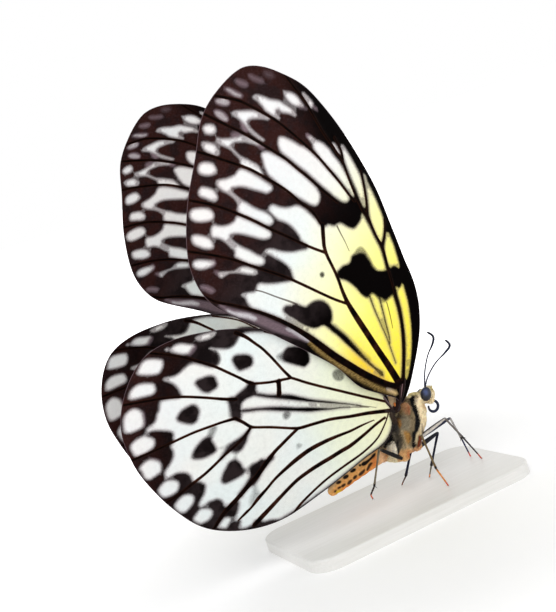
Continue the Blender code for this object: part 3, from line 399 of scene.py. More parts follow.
# ---- hindwing, in the same way ----
HINDWING_VEINS = {
    "radius": [(386, 401.6), (366.3, 397.2), (350, 393.3), (338.2, 390.4), (320, 386.1), (305.7, 382.3),
        (297.1, 379.5), (289.5, 377.2)],
    "rs": [(290, 377, 0.6), (282.9, 370), (275.7, 362.1), (268.6, 354.6), (261.4, 347.9), (254.3, 342.9),
        (247.1, 337.7, 0.6), (241, 334.6, 0.7), (235, 332.5, 0.7)],
    "cell_top": [(288.6, 378.3), (280, 380), (271.4, 381.8), (261.4, 382.9), (254.3, 383.4)],
    "cell_bar": [(278.4, 381, 0.95), (278.8, 387.5, 0.9), (278.9, 394.5, 1.05)],
    "m1": [(252, 383.2, 0.7), (247.1, 381.6, 0.65), (240, 378), (227.8, 372.3), (215, 366.6),
        (200, 361.8), (186, 357.8), (168, 354.6), (150, 353)],
    "m2": [(236, 399, 0.6), (225, 399, 0.6), (212.5, 398), (197.1, 397), (181.8, 396.6), (166.5, 397.6),
        (151.2, 400), (124, 404.8)],
    "m3": [(235.4, 418.2, 0.65), (222.1, 422), (208.6, 426.8), (200, 429.9), (191.4, 433.3),
        (174.2, 441.2), (158.9, 448.4), (130, 461)],
    "cubitus": [(390, 410.5, 0.8), (378, 411.8, 0.75), (366.3, 413.3, 0.7), (350, 416.3, 0.62),
        (330, 419.2, 0.6), (310, 424.8, 0.6), (298.6, 428, 0.62), (290, 428, 0.5), (270, 427),
        (256, 427.1), (250.5, 426.6, 0.6), (243.5, 422.4, 0.6), (235.4, 418.4, 0.65)],
    "cu1": [(250.6, 427.5, 0.55), (245.5, 434.5), (240, 441), (232, 448.5), (224.5, 454.8),
        (215.5, 463.8, 0.55), (204, 474.5, 0.55), (193, 483, 0.6), (178, 495), (165, 503)],
    "cu2": [(297, 429, 0.6), (290, 435.7, 0.65), (282.1, 443.8, 0.65), (275, 451, 0.7), (266.5, 462, 0.9),
        (257.5, 475, 0.9), (249.5, 484, 0.9), (241.5, 493.5, 0.8), (233, 503, 0.9), (224, 513, 0.8),
        (213, 530)],
    "a1": [(373.3, 420.2, 0.2), (366, 423.3, 0.3), (359.3, 426.4, 0.45), (350, 431), (338.2, 435.6, 0.6),
        (325, 441.3, 0.75), (310, 449.3, 0.85), (297, 458.8, 0.85), (286, 468.2, 0.7), (275, 478.6, 0.55),
        (267, 488.2, 0.55), (258, 498.4, 0.7), (251, 507.5, 0.45), (246, 512.4, 0.55), (238, 520.5, 0.3)],
    "a2": [(384.6, 417.5), (375, 424.8, 0.55), (366.3, 432.5, 0.6), (350, 445.7, 0.75), (340, 451.6, 0.8),
        (330, 457.9, 0.8), (320, 463.8, 0.8), (308, 471.6, 0.75), (296, 480.8, 0.7), (283, 494, 0.7),
        (272, 505.8, 0.8), (262, 516.4, 0.9), (254, 525, 0.8)],
    "a3": [(388, 413, 0.3), (386.6, 418.5, 0.3), (384.6, 423.9, 0.32), (377.5, 437.9, 0.36),
        (363.5, 451.9, 0.42), (343.9, 466, 0.45), (327, 478.6, 0.45), (313, 491.2, 0.45),
        (300.4, 503.9, 0.5), (295, 511, 0.5), (291.9, 514.4, 0.5)],
    "costa_inner": [(264, 331.4, 0.3), (289, 338.4, 0.3), (303.2, 346.9, 0.3), (315.8, 354, 0.3)],
}
HINDWING_LINES = {
    "cell_fold_upper": [(250, 393, 0.5), (257, 394.4, 0.6), (268.6, 396.1, 0.6), (280, 396.6, 0.85),
        (290, 397.2, 0.95), (300, 398.8, 0.75), (310, 400.4, 0.55), (320, 401.4, 0.45),
        (330.7, 402.3, 0.4), (338, 403, 0.3), (350, 404.2, 0.2), (360, 405.6, 0.1)],
    "cell_fold_lower": [(239, 411, 0.5), (250, 410, 0.55), (260, 408.9, 0.5), (270, 408.6, 0.65),
        (282, 408.8, 0.8), (295, 409.2, 0.7), (310, 409.4, 0.8), (320, 409, 0.55), (330, 408.8, 0.3),
        (341.4, 407.4, 0.2), (349.3, 407.1, 0.15)],
}
HINDWING_HAIRLINES = {
    "cell_fold_end": [(349, 407.1, 0.12), (358, 407, 0.15), (368, 407.3, 0.06)],
    "cell_fold_upper_end": [(356, 405, 0.15), (366, 406.2, 0.1), (376, 407.4, 0.05)],
}
HINDWING_LIGHT = {
    "marginal_1": [(195.4, 337.9), (198.6, 336), (205, 333.6), (210.7, 332.5), (215.7, 332.1),
        (213.6, 335.7), (209.3, 338.6), (205.7, 339.6), (201.4, 340.5), (197.5, 340)],
    "marginal_2": [(169.5, 350.4), (172.1, 347.1), (175.7, 344.3), (181.4, 343.2), (187.1, 343.9),
        (193.6, 345), (193.9, 346.8), (191.4, 349.3), (190, 352.1), (187.1, 353.9), (182.9, 354.3),
        (177.1, 353.6), (172.9, 352.3)],
    "marginal_2_dot": [(165, 349.4), (166.8, 348), (168.2, 349.4), (166.8, 351)],
    "marginal_3": [(136.4, 373.2), (137.9, 370), (139.3, 366.4), (142.1, 362.1), (146.4, 359.3),
        (152.1, 358.6), (158.6, 358.9), (162.5, 360), (163.2, 362.9), (162.9, 366.4), (161.4, 370),
        (158.6, 373.6), (152.9, 375), (145.7, 375.4), (139.3, 375)],
    "marginal_4": [(128.4, 398.6), (128.6, 395.7), (130, 391.4), (133.6, 387.1), (137.9, 384.3),
        (142.9, 383.2), (148.6, 382.9), (153.6, 383.6), (155.4, 387.1), (155.7, 390.7), (152.9, 394.3),
        (148.6, 395.7), (142.9, 397.1), (137.1, 398.6), (132.1, 399.6)],
    "marginal_5": [(124.6, 432.9), (123.2, 428.6), (122.9, 423.6), (123.2, 419.3), (124.6, 415),
        (127.1, 412.1), (130.7, 409.3), (135, 408.2), (138.9, 409.3), (142.1, 412.1), (143.4, 417.1),
        (144, 422.1), (143.6, 425.7), (140.7, 428.6), (136.4, 430.7), (132.1, 432.5), (128.6, 433.2)],
    "marginal_6": [(131.4, 451.4), (130, 447.1), (131.4, 443.6), (134.3, 440.7), (137.9, 438.2),
        (141.4, 436.4), (144.3, 435), (145.3, 433.2), (147.1, 436.2), (151.4, 437.1), (154.3, 439.3),
        (155, 442.9), (153.6, 447.1), (149.3, 450.7), (144.3, 453.6), (139.3, 455.7), (135, 456.4)],
    "marginal_7": [(139.3, 468.9), (140.7, 465.7), (144.3, 462.1), (148.6, 459.6), (152.1, 458.9),
        (156.4, 460), (160, 461.8), (161.4, 464.3), (162.1, 468.6), (160.7, 472.1), (157.1, 475),
        (153.6, 477.5), (150, 479.6), (146.4, 479.3), (143.6, 477.1), (142.1, 472.9)],
    "marginal_8": [(157.9, 490), (159.3, 487.1), (162.1, 483.6), (165.7, 480.7), (170, 479.6), (175, 480),
        (178.2, 481.4), (179.3, 485), (178.6, 488.6), (176.4, 492.1), (172.1, 495), (167.9, 496.8),
        (163.6, 497.5), (160.7, 495.7), (158.6, 492.9)],
    "marginal_9": [(174.3, 505), (175.7, 502.5), (179.3, 498.2), (183.6, 495), (188.6, 493.9),
        (192.1, 494.6), (194.3, 497.1), (194.3, 500.7), (192.1, 505), (188.6, 509.3), (185, 512.5),
        (181.4, 512.9), (177.9, 511.1), (175, 507.9)],
    "marginal_10": [(193.2, 518.2), (195.7, 514.3), (198.9, 510), (202.1, 508), (206.4, 507.9),
        (210, 508.6), (212.7, 510.7), (212.7, 514.3), (210.7, 517.9), (207.9, 520.7), (204.3, 522.5),
        (200.7, 523.9), (196.4, 522.5), (193.6, 520.4)],
    "marginal_11": [(217.8, 527), (220.4, 522.4), (223.4, 518.2), (226, 517), (228.6, 516.7),
        (230.7, 517.7), (231.2, 520), (229.3, 523.6), (227.9, 526.4), (226, 528.2), (222.9, 528.2),
        (218.8, 527.9)],
    "inner_field": [(385.3, 398.7), (382.4, 395), (361.3, 373.9), (334.7, 353.6), (304.6, 338.5),
        (278.3, 333.4), (258, 331.6), (245, 332.6), (241, 335), (238, 337), (235.7, 341.4), (232.9, 345),
        (228.6, 347.5), (224.3, 348.6), (219.3, 348.4), (214.3, 348.2), (210.9, 347.6), (209.1, 348),
        (210.7, 348.9), (214.3, 350.7), (217.1, 353.6), (218.6, 357.1), (218.8, 360), (217.6, 362.9),
        (215.4, 366.2), (210, 366.8), (201.4, 364.4), (195.7, 363.2), (191.5, 363), (188, 364),
        (185, 366.6), (182.9, 369), (180, 372.1), (176.4, 374.6), (172.1, 376.4), (167.9, 377.1),
        (164, 378), (162.7, 379.3), (165.7, 380.9), (170, 382.3), (173.6, 384.3), (176.4, 387.1),
        (178.6, 390), (180, 392.9), (181.4, 395), (179, 397.6), (170, 398.4), (162.1, 400.2),
        (159.3, 401.6), (158.4, 405), (158.2, 410), (156.6, 414.3), (155.7, 419.3), (153.6, 422.9),
        (150, 425.7), (146.6, 428.2), (146, 430), (145.2, 433.8), (147.1, 433.4), (150.7, 431.4),
        (155, 430.6), (160.7, 430.6), (165.7, 430.9), (170, 431.4), (172.7, 432.9), (173.4, 435),
        (172.9, 437.9), (173.8, 441), (171.5, 443.8), (170.4, 445.5), (170.9, 448), (172.7, 450.7),
        (173.2, 454.3), (172.7, 457.9), (170.7, 462.1), (168.6, 465.7), (166.4, 468.6), (165, 470.7),
        (164.3, 473.6), (165, 477.1), (165.8, 479.6), (167.5, 478.5), (170, 477.2), (172.9, 475.4),
        (176.4, 473.4), (181.4, 472.7), (186.4, 473), (190, 475.5), (191.4, 478.6), (193, 481.6),
        (197, 481.4), (200, 481.8), (202.1, 482.9), (204.8, 484.3), (205.2, 487.1), (204.6, 490.7),
        (203.6, 494.3), (201.4, 497.9), (199.6, 501.4), (198.3, 504.4), (200.4, 507.2), (203, 507.2),
        (206, 504.6), (208.6, 502.1), (212.9, 500.4), (217.1, 498.9), (220.7, 500), (223.2, 502.9),
        (224.3, 506.1), (227.5, 506), (232.5, 502.5), (238, 500.5), (238.3, 507.5), (236.6, 513.6),
        (234.4, 517.5), (234.4, 520.2), (237, 520.8), (240.4, 519.8), (239.9, 523.6), (238.8, 527.5),
        (240.7, 528.4), (245.7, 528), (249.3, 526.2), (252.7, 524.6), (254.3, 521.4), (257, 519.4),
        (260.6, 518.6), (262, 521.4), (265, 521.4), (271.4, 519.6), (280.8, 518.6), (319.6, 492.6),
        (364.5, 456.9), (384.3, 441.5), (391.4, 425.4), (389.7, 408.5)],
}
HINDWING_DARK = {
    "blotch_rs": [(232.1, 359.6), (233.6, 356.4), (236.4, 355), (240, 354.6), (244.3, 354.3),
        (248.6, 355), (251.4, 356.8), (252.5, 359.3), (252.5, 362.9), (251.1, 365.7), (247.1, 367.9),
        (242.9, 369.6), (240, 370.5), (237.9, 369.6), (235.7, 367.1), (233.6, 363.6)],
    "blotch_m1": [(195, 383.2), (197.1, 380), (201.4, 378.2), (205.7, 376.5), (210.7, 375.7),
        (214.3, 376.8), (216.1, 380.7), (217.5, 384.6), (216.1, 387.9), (212.1, 390.4), (208.6, 392.5),
        (204.3, 392.1), (201.4, 390.6), (198.6, 387.9), (196.4, 385.4)],
    "blotch_m2": [(176.8, 418.6), (178.2, 415), (180.7, 411.4), (184.3, 408.6), (188.6, 406.1),
        (192.1, 404.6), (195.7, 405.4), (197.9, 407.9), (199.3, 411.4), (198.2, 415.7), (197.1, 420),
        (194.3, 422.9), (190.7, 423.9), (185.7, 423.2), (181.4, 422.1), (178.2, 420.7)],
    "cell_end": [(256, 383.5), (255.7, 387), (255.9, 391), (257.5, 394), (254, 395.6), (250.7, 396.8),
        (246.4, 398.6), (242.9, 401.4), (241.1, 404.3), (240.7, 407.9), (241.4, 413.6), (241.1, 416.6),
        (240, 420.4), (235, 419.6), (231.5, 418), (231, 412.9), (230.2, 408.6), (229.2, 404.3),
        (227.6, 400.7), (230, 397.5), (234.3, 396.6), (237.1, 394.3), (241.4, 390.7), (245, 387.7),
        (247.1, 385), (248, 382.4)],
    "blotch_m3": [(192.1, 457.5), (192.5, 454.3), (194.3, 450), (197.1, 445.7), (200.7, 441.4),
        (204.3, 438.2), (207.5, 437), (211, 437.5), (211.4, 440), (213.6, 443.6), (215.4, 447.1),
        (216.3, 450.3), (212.9, 453.4), (207.9, 456.1), (202.9, 458.2), (197.1, 458.9), (193.4, 458.7)],
    "flare_cu1": [(250.4, 428.8), (248.6, 434), (247.1, 438), (246.2, 441.5), (244.3, 445),
        (242.4, 448.4), (239.8, 450.6), (235.5, 451.8), (231.5, 451), (227.5, 453), (223.5, 456.5),
        (221, 459.6), (219.6, 459), (222, 455.4), (224.3, 451.6), (226.8, 448.4), (229.5, 444.8),
        (232.9, 441.8), (237.1, 439.3), (241.4, 436.2), (245, 432.7), (248.4, 429.3)],
    "blotch_cu1": [(235.2, 459.8), (231.4, 460.6), (228.6, 462.9), (226.4, 467.1), (223.6, 472.1),
        (222.1, 476.4), (221.4, 480.7), (222.9, 482.9), (225.7, 483.2), (230.7, 481.1), (235.7, 478.6),
        (240.7, 475.7), (245, 472.1), (246.1, 469.6), (242.9, 467.9), (240.7, 463.6), (237.9, 461)],
    "flare_cu2": [(271, 455), (267.5, 458), (264, 459.4), (261.4, 459), (257.9, 461.4), (254.3, 463.4),
        (251.2, 466), (249.6, 468.6), (249.8, 472.1), (249.8, 476.4), (247.9, 480), (245, 485),
        (241.4, 490), (237.9, 495), (240.5, 497.6), (243.6, 493.6), (247.1, 489.3), (250, 486.4),
        (253.6, 485), (256.4, 482.1), (259.3, 477.9), (261.4, 472.9), (265, 467.9), (270, 462.1),
        (274, 457)],
    "blotch_costa": [(285, 349.6), (287.1, 347.5), (291.4, 346.6), (298.6, 346.6), (304, 347.6),
        (308.2, 352.9), (309.3, 357.9), (309.3, 361.4), (307.1, 364.3), (304.3, 366.8), (300, 365.9),
        (294.3, 364.5), (290, 363.2), (284.9, 361.2), (282.6, 358), (283.6, 353)],
}
HINDWING_SMOKE = {
    "border_m1": (0.6, 0.3, [(238.8, 335.4), (237, 341.4), (234, 345.6), (229, 348.4), (225, 348),
        (231, 341), (235, 335.4)]),
    "border_m1_low": (0.65, 0.3, [(214.6, 349.6), (218.4, 353), (220.6, 358.4), (219.6, 362.6),
        (216.4, 365.8), (214, 362)]),
    "border_m2": (0.55, 0.35, [(183, 362.6), (188, 362.2), (192, 363), (188, 365.6), (184, 368.2)]),
    "border_m2_tip": (0.4, 0.35, [(158.6, 378.4), (162.4, 377.4), (164.4, 379.4), (160, 380.6)]),
    "border_m3": (0.5, 0.4, [(156.6, 400.6), (160.4, 401.4), (159.6, 408), (157.4, 413), (155.6, 408)]),
    "neck_m3": (0.55, 0.35, [(207, 438.6), (208.2, 432), (209.8, 428.2), (216.8, 426), (214.9, 432.9),
        (212, 438.6)]),
    "flare_cu1_side": (0.5, 0.35, [(224.6, 449.6), (225.2, 445.8), (229.5, 442.8), (232, 444),
        (228, 449)]),
    "flare_cu1_foot": (0.45, 0.35, [(231, 451.4), (240.4, 450), (238.4, 452.8), (235.7, 455.4),
        (233, 453)]),
    "link_cu1": (0.4, 0.3, [(234.4, 455), (236.6, 455.6), (236.8, 460.8), (233.2, 460.8)]),
    "flare_cu2_side": (0.5, 0.35, [(246.4, 468.8), (249.6, 465), (254, 463), (252, 468.6), (249.6, 471)]),
    "haze_a1": (0.42, 0.5, [(253.4, 484.6), (256, 484.4), (257.4, 490), (260.4, 493.2), (257, 497.4),
        (252.4, 504.4), (249.8, 505), (250.8, 497), (253, 490)]),
    "dot_m3": (0.3, 0.3, [(219.2, 448.2), (222, 446.4), (224, 447.4), (221.4, 449.4)]),
    "dot_cell": (0.6, 0.3, [(283, 413.2), (286, 411), (290.2, 411.8), (290.4, 415), (288, 418.6),
        (285, 419.4), (282.8, 417)]),
    "dot_cu2": (0.4, 0.25, [(296.4, 446), (297.4, 443.4), (302.2, 444.6), (301, 446.6), (297.6, 448.8)]),
    "dot_costa": (0.6, 0.25, [(332, 374), (334, 370.4), (338.2, 369), (342, 371.4), (344, 375.6),
        (342.4, 379.6), (338, 381), (334, 379)]),
    "blotch_costa_side": (0.62, 0.4, [(276.6, 356.4), (280.4, 353), (285, 351.4), (286, 361.4),
        (281, 360.4)]),
    "cell_end_side": (0.45, 0.3, [(229, 403), (231, 402), (232, 414), (229.6, 417.4), (228.4, 410)]),
    "link_9": (0.35, 0.3, [(195, 497), (198, 496.6), (199.6, 503), (196.6, 505.6)]),
    "link_10": (0.6, 0.15, [(202, 506.4), (203.6, 506), (204.4, 507.6), (202.4, 508.2)]),
    "link_7": (0.5, 0.3, [(161.6, 466), (164.4, 465.6), (165, 470.4), (162, 471.4)]),
    "link_5": (0.3, 0.3, [(143.6, 427.6), (146.6, 427.6), (146.6, 434.6), (143.8, 434.4)]),
}
HINDWING_FAINT = {
    "spot_haze_2": (0.45, 0.35, [(192.6, 344.6), (196, 346.6), (193.6, 351.4), (189.4, 355),
                                 (187, 354)]),
    "spot_haze_5": (0.35, 0.3, [(142.6, 411), (144.8, 417), (145.2, 424), (143, 428),
                                (143.6, 419)]),
    "spot_haze_7": (0.3, 0.3, [(150, 458.6), (156, 458.6), (160.6, 461), (158, 462)]),
}

# ---- body: millimetres forward, left and up from the insect's centre, as in the solids ----
# Each row: top forward, top up, bottom forward, bottom up, half width.
THORAX = [
    (3.9, -4.5, 4.1, -6.1, 0.7), (3.3, -3.1, 4.6, -7.7, 1.7), (2.0, -3.2, 4.1, -8.6, 2.65),
    (0.0, -3.9, 3.1, -10.5, 3.4), (-2.4, -5.2, 1.3, -12.5, 3.6), (-4.8, -7.2, -1.5, -14.1, 3.25),
    (-6.6, -9.3, -4.0, -15.1, 2.6), (-7.4, -10.9, -6.0, -14.4, 1.7), (-7.6, -12.0, -7.1, -13.3, 0.7),
]
ABDOMEN = [
    (-5.6, -10.6, -5.6, -13.6, 1.5), (-8.0, -10.1, -8.0, -13.8, 1.8), (-11.5, -10.7, -11.5, -14.4, 1.85),
    (-15.0, -11.5, -15.0, -15.0, 1.7), (-18.0, -12.5, -18.0, -15.6, 1.4),
    (-20.0, -13.4, -20.0, -15.8, 0.95), (-20.9, -14.2, -20.9, -15.2, 0.4),
]
HEAD = [
    (3.3, -4.3, 3.3, -5.6, 0.8), (4.4, -3.5, 4.4, -6.2, 1.4), (5.4, -3.3, 5.3, -6.3, 1.45),
    (6.3, -3.2, 5.9, -6.1, 1.15), (7.0, -3.5, 6.6, -5.6, 0.75), (7.45, -4.0, 7.2, -5.0, 0.35),
]
PALP_PATH = [(5.6, 0.8, -6.0), (6.1, 0.85, -6.2), (6.6, 0.85, -5.7), (7.0, 0.8, -4.9), (7.3, 0.7, -4.2)]
PALP_RADII = [0.34, 0.4, 0.38, 0.32, 0.18]
# Centre, radii and lean of the lobes under the skin; each also on the other side.
LOBES = {
    "collar": ((2.4, 1.8, -7.4), (1.1, 0.9, 2.9), 6.0),
    "collar_top": ((3.2, 1.0, -4.5), (0.9, 1.2, 1.0), 0.0),
    "nape": ((3.6, 0.5, -4.2), (1.2, 1.0, 0.8), 0.0),
    "neck": ((4.0, 0.3, -4.9), (1.2, 1.1, 1.2), 0.0),
    "crown": ((6.75, 0.3, -3.75), (0.7, 0.6, 0.5), 0.0),
    "face": ((6.75, 0.35, -4.7), (0.85, 0.7, 1.15), 8.0),
    "waist": ((-6.4, 0.2, -12.2), (1.7, 1.5, 1.5), 0.0),
    "shoulder": ((-0.9, 2.9, -4.9), (1.3, 0.7, 1.3), -20.0),
    "wing_pad": ((-5.0, 3.9, -6.6), (1.15, 1.25, 1.9), -10.0),
    "wing_fur": ((-5.1, 4.75, -5.0), (0.8, 0.6, 1.7), -10.0),
    "fore_coxa": ((0.6, 0.9, -12.0), (0.75, 0.6, 1.2), -12.0),
    "mid_hip": ((0.1, 0.9, -13.3), (0.95, 0.7, 0.95), 30.0),
    "belly": ((-1.2, 0.6, -13.2), (1.3, 0.9, 0.9), 10.0),
    "mid_coxa": ((-3.4, 1.3, -13.6), (1.1, 0.8, 1.45), 0.0),
    "hind_coxa": ((-5.5, 1.9, -11.6), (1.0, 0.9, 1.5), 0.0),
}
SKIN_DEPTHS = (0.2, 0.12, 0.18)          # under the solids' surface: thorax, abdomen and head
SKIN_VOXEL = 0.115
SKIN_ROUNDS = 5
SKIN_SMOOTHING = (0.55, -0.57)           # in and out again, so that the skin keeps its size
ABDOMEN_ROOT = -5.6
ABDOMEN_LENGTH = 15.3
ABDOMEN_FRONT = -7.6         # behind this the abdomen is clear of the thorax
ABDOMEN_RINGS = 8
RING_DEPTH = 0.13
BAND_DEPTH = 0.16

EYE_CENTRE = (5.2, 1.55, -4.1)
EYE_RADII = (1.17, 0.75, 1.45)
EYE_LEAN = math.radians(20.0)
# Shares of the eye's radii: the painted highlight's place forward and up, and where the brown begins.
EYE_HIGHLIGHT_PLACE = (-0.2, 0.4)
EYE_HIGHLIGHT_SIZE = 0.42
EYE_BROWN_TOP = -0.72
# The left eye is smaller and set a little lower, as the photograph hides it behind the head.
EYES = {"left": (np.array(EYE_CENTRE) + (0.3, -0.2, -0.5), 0.86),
        "right": (np.array(EYE_CENTRE) * (1, -1, 1), 1.0)}
COIL_CENTRE = (6.7, -7.42)
COIL_RADIUS = 1.1
COIL_START = math.radians(112.0)
COIL_SWEEP = math.radians(-318.0)
COIL_STEPS = 60
TONGUE_ROOT = [(6.3, 0.0, -5.7), (6.35, 0.0, -6.2)]
TONGUE_RADIUS = 0.29
TONGUE_TAPER = (5.2, 1.4)    # where it starts along the tongue, and over what length
TONGUE_RING = 0.2
TONGUE_STEP = 0.05
FEELER_RADIUS = 0.145
FEELER_CLUB = 0.115          # how much stouter the club is
CLUB_START = 0.62            # as a share of the feeler's length
FEELER_JOINT = 0.36          # from one ring to the next
FEELER_STEP = 0.06
ANTENNAE = {
    "right": [(5.9, -0.5, -3.6), (6.2, -0.7, -2.5), (7.0, -1.5, -0.8), (8.8, -2.7, 1.3),
              (10.9, -4.0, 2.8), (12.1, -4.5, 3.9), (11.5, -4.5, 5.3)],
    "left": [(6.2, 0.5, -3.8), (6.7, 0.7, -2.7), (8.2, 1.8, -0.5), (10.6, 3.1, 2.0),
             (13.1, 4.2, 3.7), (13.8, 4.5, 4.9), (12.8, 4.5, 6.3)],
}
# Joints (hip, knee, ankle, toe and, on the lifted foot, its tip) and the colours (top, side,
# underside) of thigh, shin, foot and tip.
LEGS = {
    "foreleg_right": (
        ((0.8, -2.3, -11.5), (7.2, -2.3, -10.1), (9.9, -2.0, -15.4), (12.8, -1.4, -21.2)),
        (((28, 28, 38), (206, 200, 190), (70, 70, 90)), ((62, 58, 62), (110, 104, 100), (46, 38, 40)),
         ((40, 32, 40), (44, 34, 40), (60, 40, 40)), ((205, 80, 52), (205, 80, 52), (190, 70, 50)))),
    "foreleg_left": (
        ((1.9, 1.1, -12.6), (10.6, 2.2, -11.8), (11.9, 2.7, -16.9), (12.7, 2.8, -21.2)),
        (((26, 30, 54), (30, 34, 60), (26, 30, 54)), ((120, 122, 126), (170, 168, 166), (90, 88, 92)),
         ((30, 34, 70), (34, 38, 76), (30, 34, 60)), ((222, 96, 84), (222, 96, 84), (200, 90, 80)))),
    "midleg_right": (
        ((0.1, -1.7, -13.2), (-0.2, -4.9, -10.5), (-0.1, -6.4, -17.5), (0.7, -7.6, -21.2)),
        (((120, 50, 18), (130, 56, 20), (90, 40, 20)), ((88, 72, 46), (112, 94, 62), (70, 52, 34)),
         ((214, 128, 56), (226, 144, 66), (190, 106, 50)), ((200, 76, 40), (206, 84, 46), (180, 70, 40)))),
    "midleg_left": (
        ((0.6, 1.0, -14.4), (7.0, 2.4, -13.6), (3.2, 2.4, -19.5), (1.8, 1.8, -21.2)),
        (((14, 16, 28), (16, 18, 34), (12, 12, 22)), ((18, 20, 40), (20, 24, 48), (14, 16, 30)),
         ((96, 90, 74), (116, 108, 84), (90, 70, 50)), ((222, 128, 60), (226, 134, 66), (200, 110, 60)))),
    "hindleg_right": (
        ((-4.5, -2.0, -14.0), (-9.3, -3.8, -9.8), (-12.8, -3.8, -16.3), (-14.1, -3.9, -17.5),
         (-13.9, -3.9, -18.35)),
        (((6, 6, 9), (7, 7, 10), (26, 16, 13)), ((104, 94, 78), (122, 112, 92), (84, 66, 50)),
         ((30, 20, 18), (38, 24, 20), (60, 34, 26)), ((186, 82, 46), (200, 92, 52), (170, 70, 44)))),
    "hindleg_left": (
        ((-2.9, 0.9, -13.4), (1.7, 4.9, -14.6), (-1.9, 4.8, -20.0), (-3.2, 4.9, -21.2)),
        (((16, 18, 32), (20, 22, 40), (14, 16, 28)), ((16, 18, 36), (22, 26, 52), (14, 16, 30)),
         ((92, 72, 64), (112, 86, 76), (80, 56, 50)), ((120, 70, 56), (130, 80, 60), (100, 60, 50)))),
}
# How much stouter than the usual each leg's thigh, shin and foot are.
LEG_GIRTHS = {
    "foreleg_right": (1.35, 1.15, 1.1, 1.1), "foreleg_left": (1.3, 1.15, 1.15, 1.1),
    "midleg_right": (1.0, 1.15, 1.2, 1.1), "midleg_left": (1.45, 1.4, 1.05, 1.0),
    "hindleg_right": (1.3, 1.1, 1.15, 1.0), "hindleg_left": (1.2, 1.45, 1.05, 1.0),
}
# Radii along each bone: thigh, shin, foot and tip.
LEG_PROFILES = [
    [(0, 0.27), (0.12, 0.32), (0.4, 0.34), (0.75, 0.28), (0.93, 0.21), (1, 0.19)],
    [(0, 0.22), (0.1, 0.20), (0.4, 0.165), (0.8, 0.18), (0.95, 0.22), (1, 0.19)],
    [(0, 0.13), (0.06, 0.16), (0.42, 0.15), (0.47, 0.17), (0.5, 0.125), (0.68, 0.14),
     (0.72, 0.16), (0.75, 0.12), (0.88, 0.14), (0.92, 0.155), (0.95, 0.12), (1, 0.125)],
    [(0, 0.125), (0.5, 0.13), (0.85, 0.15), (1, 0.1)],
]
FOOT_SHARE = 0.82            # of the foot's length; the rest is its tip
TOE_PRESS = 0.12             # the tip's end lies this far under the toe
LEG_STEP = 0.16
LEG_SEED = 11
BRISTLES = 130
BRISTLE_RADIUS = 0.014
# Along the foot and out to the side, from the ankle or the toe.
SPUR = [(0.0, 0.12), (0.3, 0.34), (0.62, 0.42)]
CLAW = [(-0.05, 0.0), (0.12, 0.13), (0.2, 0.2)]
CLAW_DROP = 0.04
STANDING_TOE = -21.0         # a toe below this stands on the plate
# Thick bases of the right wings: radius and colour, then pixels with the place's distance from
# the middle plane.
FOREWING_STEMS = [
    (0.34, (26, 12, 11), [(404.5, 378, 6.7), (403.8, 386, 6.1), (402.3, 394, 5.5), (400, 401, 5.0),
                          (397.4, 409, 4.5)]),
    (0.40, (30, 15, 13), [(399, 380, 6.6), (399.5, 388, 6.0), (399.5, 396, 5.4), (398.6, 403, 4.9),
                          (396.4, 410, 4.5)]),
    (0.36, (28, 14, 11), [(394, 382, 6.5), (396, 389, 5.9), (397.5, 396, 5.3), (397.6, 403, 4.8),
                          (395.6, 410, 4.5)]),
    # The thin pale stem is a painted highlight line between the dark stems.
    (0.12, (112, 84, 88), [(402.4, 384, 6.6), (401.6, 391, 6.0), (400.4, 398, 5.5), (398.6, 404, 5.1)]),
]
HINDWING_STEMS = [
    (0.34, (98, 82, 86), [(383, 397, 5.6), (388, 404, 4.9), (393, 411, 3.9)]),
    (0.24, (44, 24, 20), [(384, 400, 5.6), (390, 407, 4.8), (394, 411, 4.0)]),
    (0.34, (30, 15, 12), [(384, 411.2, 5.5), (390, 411, 4.8), (397, 410, 3.8)]),
    (0.18, (34, 18, 13), [(384.6, 417.5, 5.3), (390, 414, 4.6), (395, 411, 3.9)]),
    (0.17, (34, 18, 13), [(385, 424, 5.1), (388, 417, 4.5), (393, 412, 3.9)]),
]
# Centre as above, radii and colour.
ROOT_LUMPS = [
    ((394.6, 404.4, 4.6), (0.22, 0.3, 0.42), (190, 112, 56)),
    ((392.6, 400.5, 4.1), (1.25, 0.4, 1.9), (176, 152, 120)),
    ((395.4, 407.5, 4.0), (1.2, 0.6, 1.1), (44, 25, 18)),
]

# ---- coat ----
# A tuft: three rings of three points and a tip.
TUFT_TURNS = (0.0, 2.0944, 4.1888)
TUFT_RINGS = ((0.0, 1.0), (0.35, 0.85), (0.7, 0.5))                  # place along it and width
# Painted shade along each tuft: darker at its root among the other tufts, lighter at its tip.
TUFT_PAINTED_SHADE = [0.88] * 3 + [1.02] * 3 + [1.12] * 3 + [1.2]           # for its ten points
TUFT_SIDES = [(0, 1, 4, 3), (1, 2, 5, 4), (2, 0, 3, 5), (3, 4, 7, 6), (4, 5, 8, 7), (5, 3, 6, 8)]
TUFT_ENDS = [(6, 7, 9), (7, 8, 9), (8, 6, 9), (2, 1, 0)]
UV_DOT = 0.0014                                                       # a tuft's size in the map
COAT_ROOTS = 26000
COAT_SEED = 7
COAT_ROOT_DEPTH = 0.03
HEAD_COAT = (4.1, -6.9)      # the head's fur lies forward of and above these
ABDOMEN_COAT = -7.4          # the abdomen's scales lie behind this
COLLAR_COAT = 2.2            # the thorax's fur lies another way forward of this
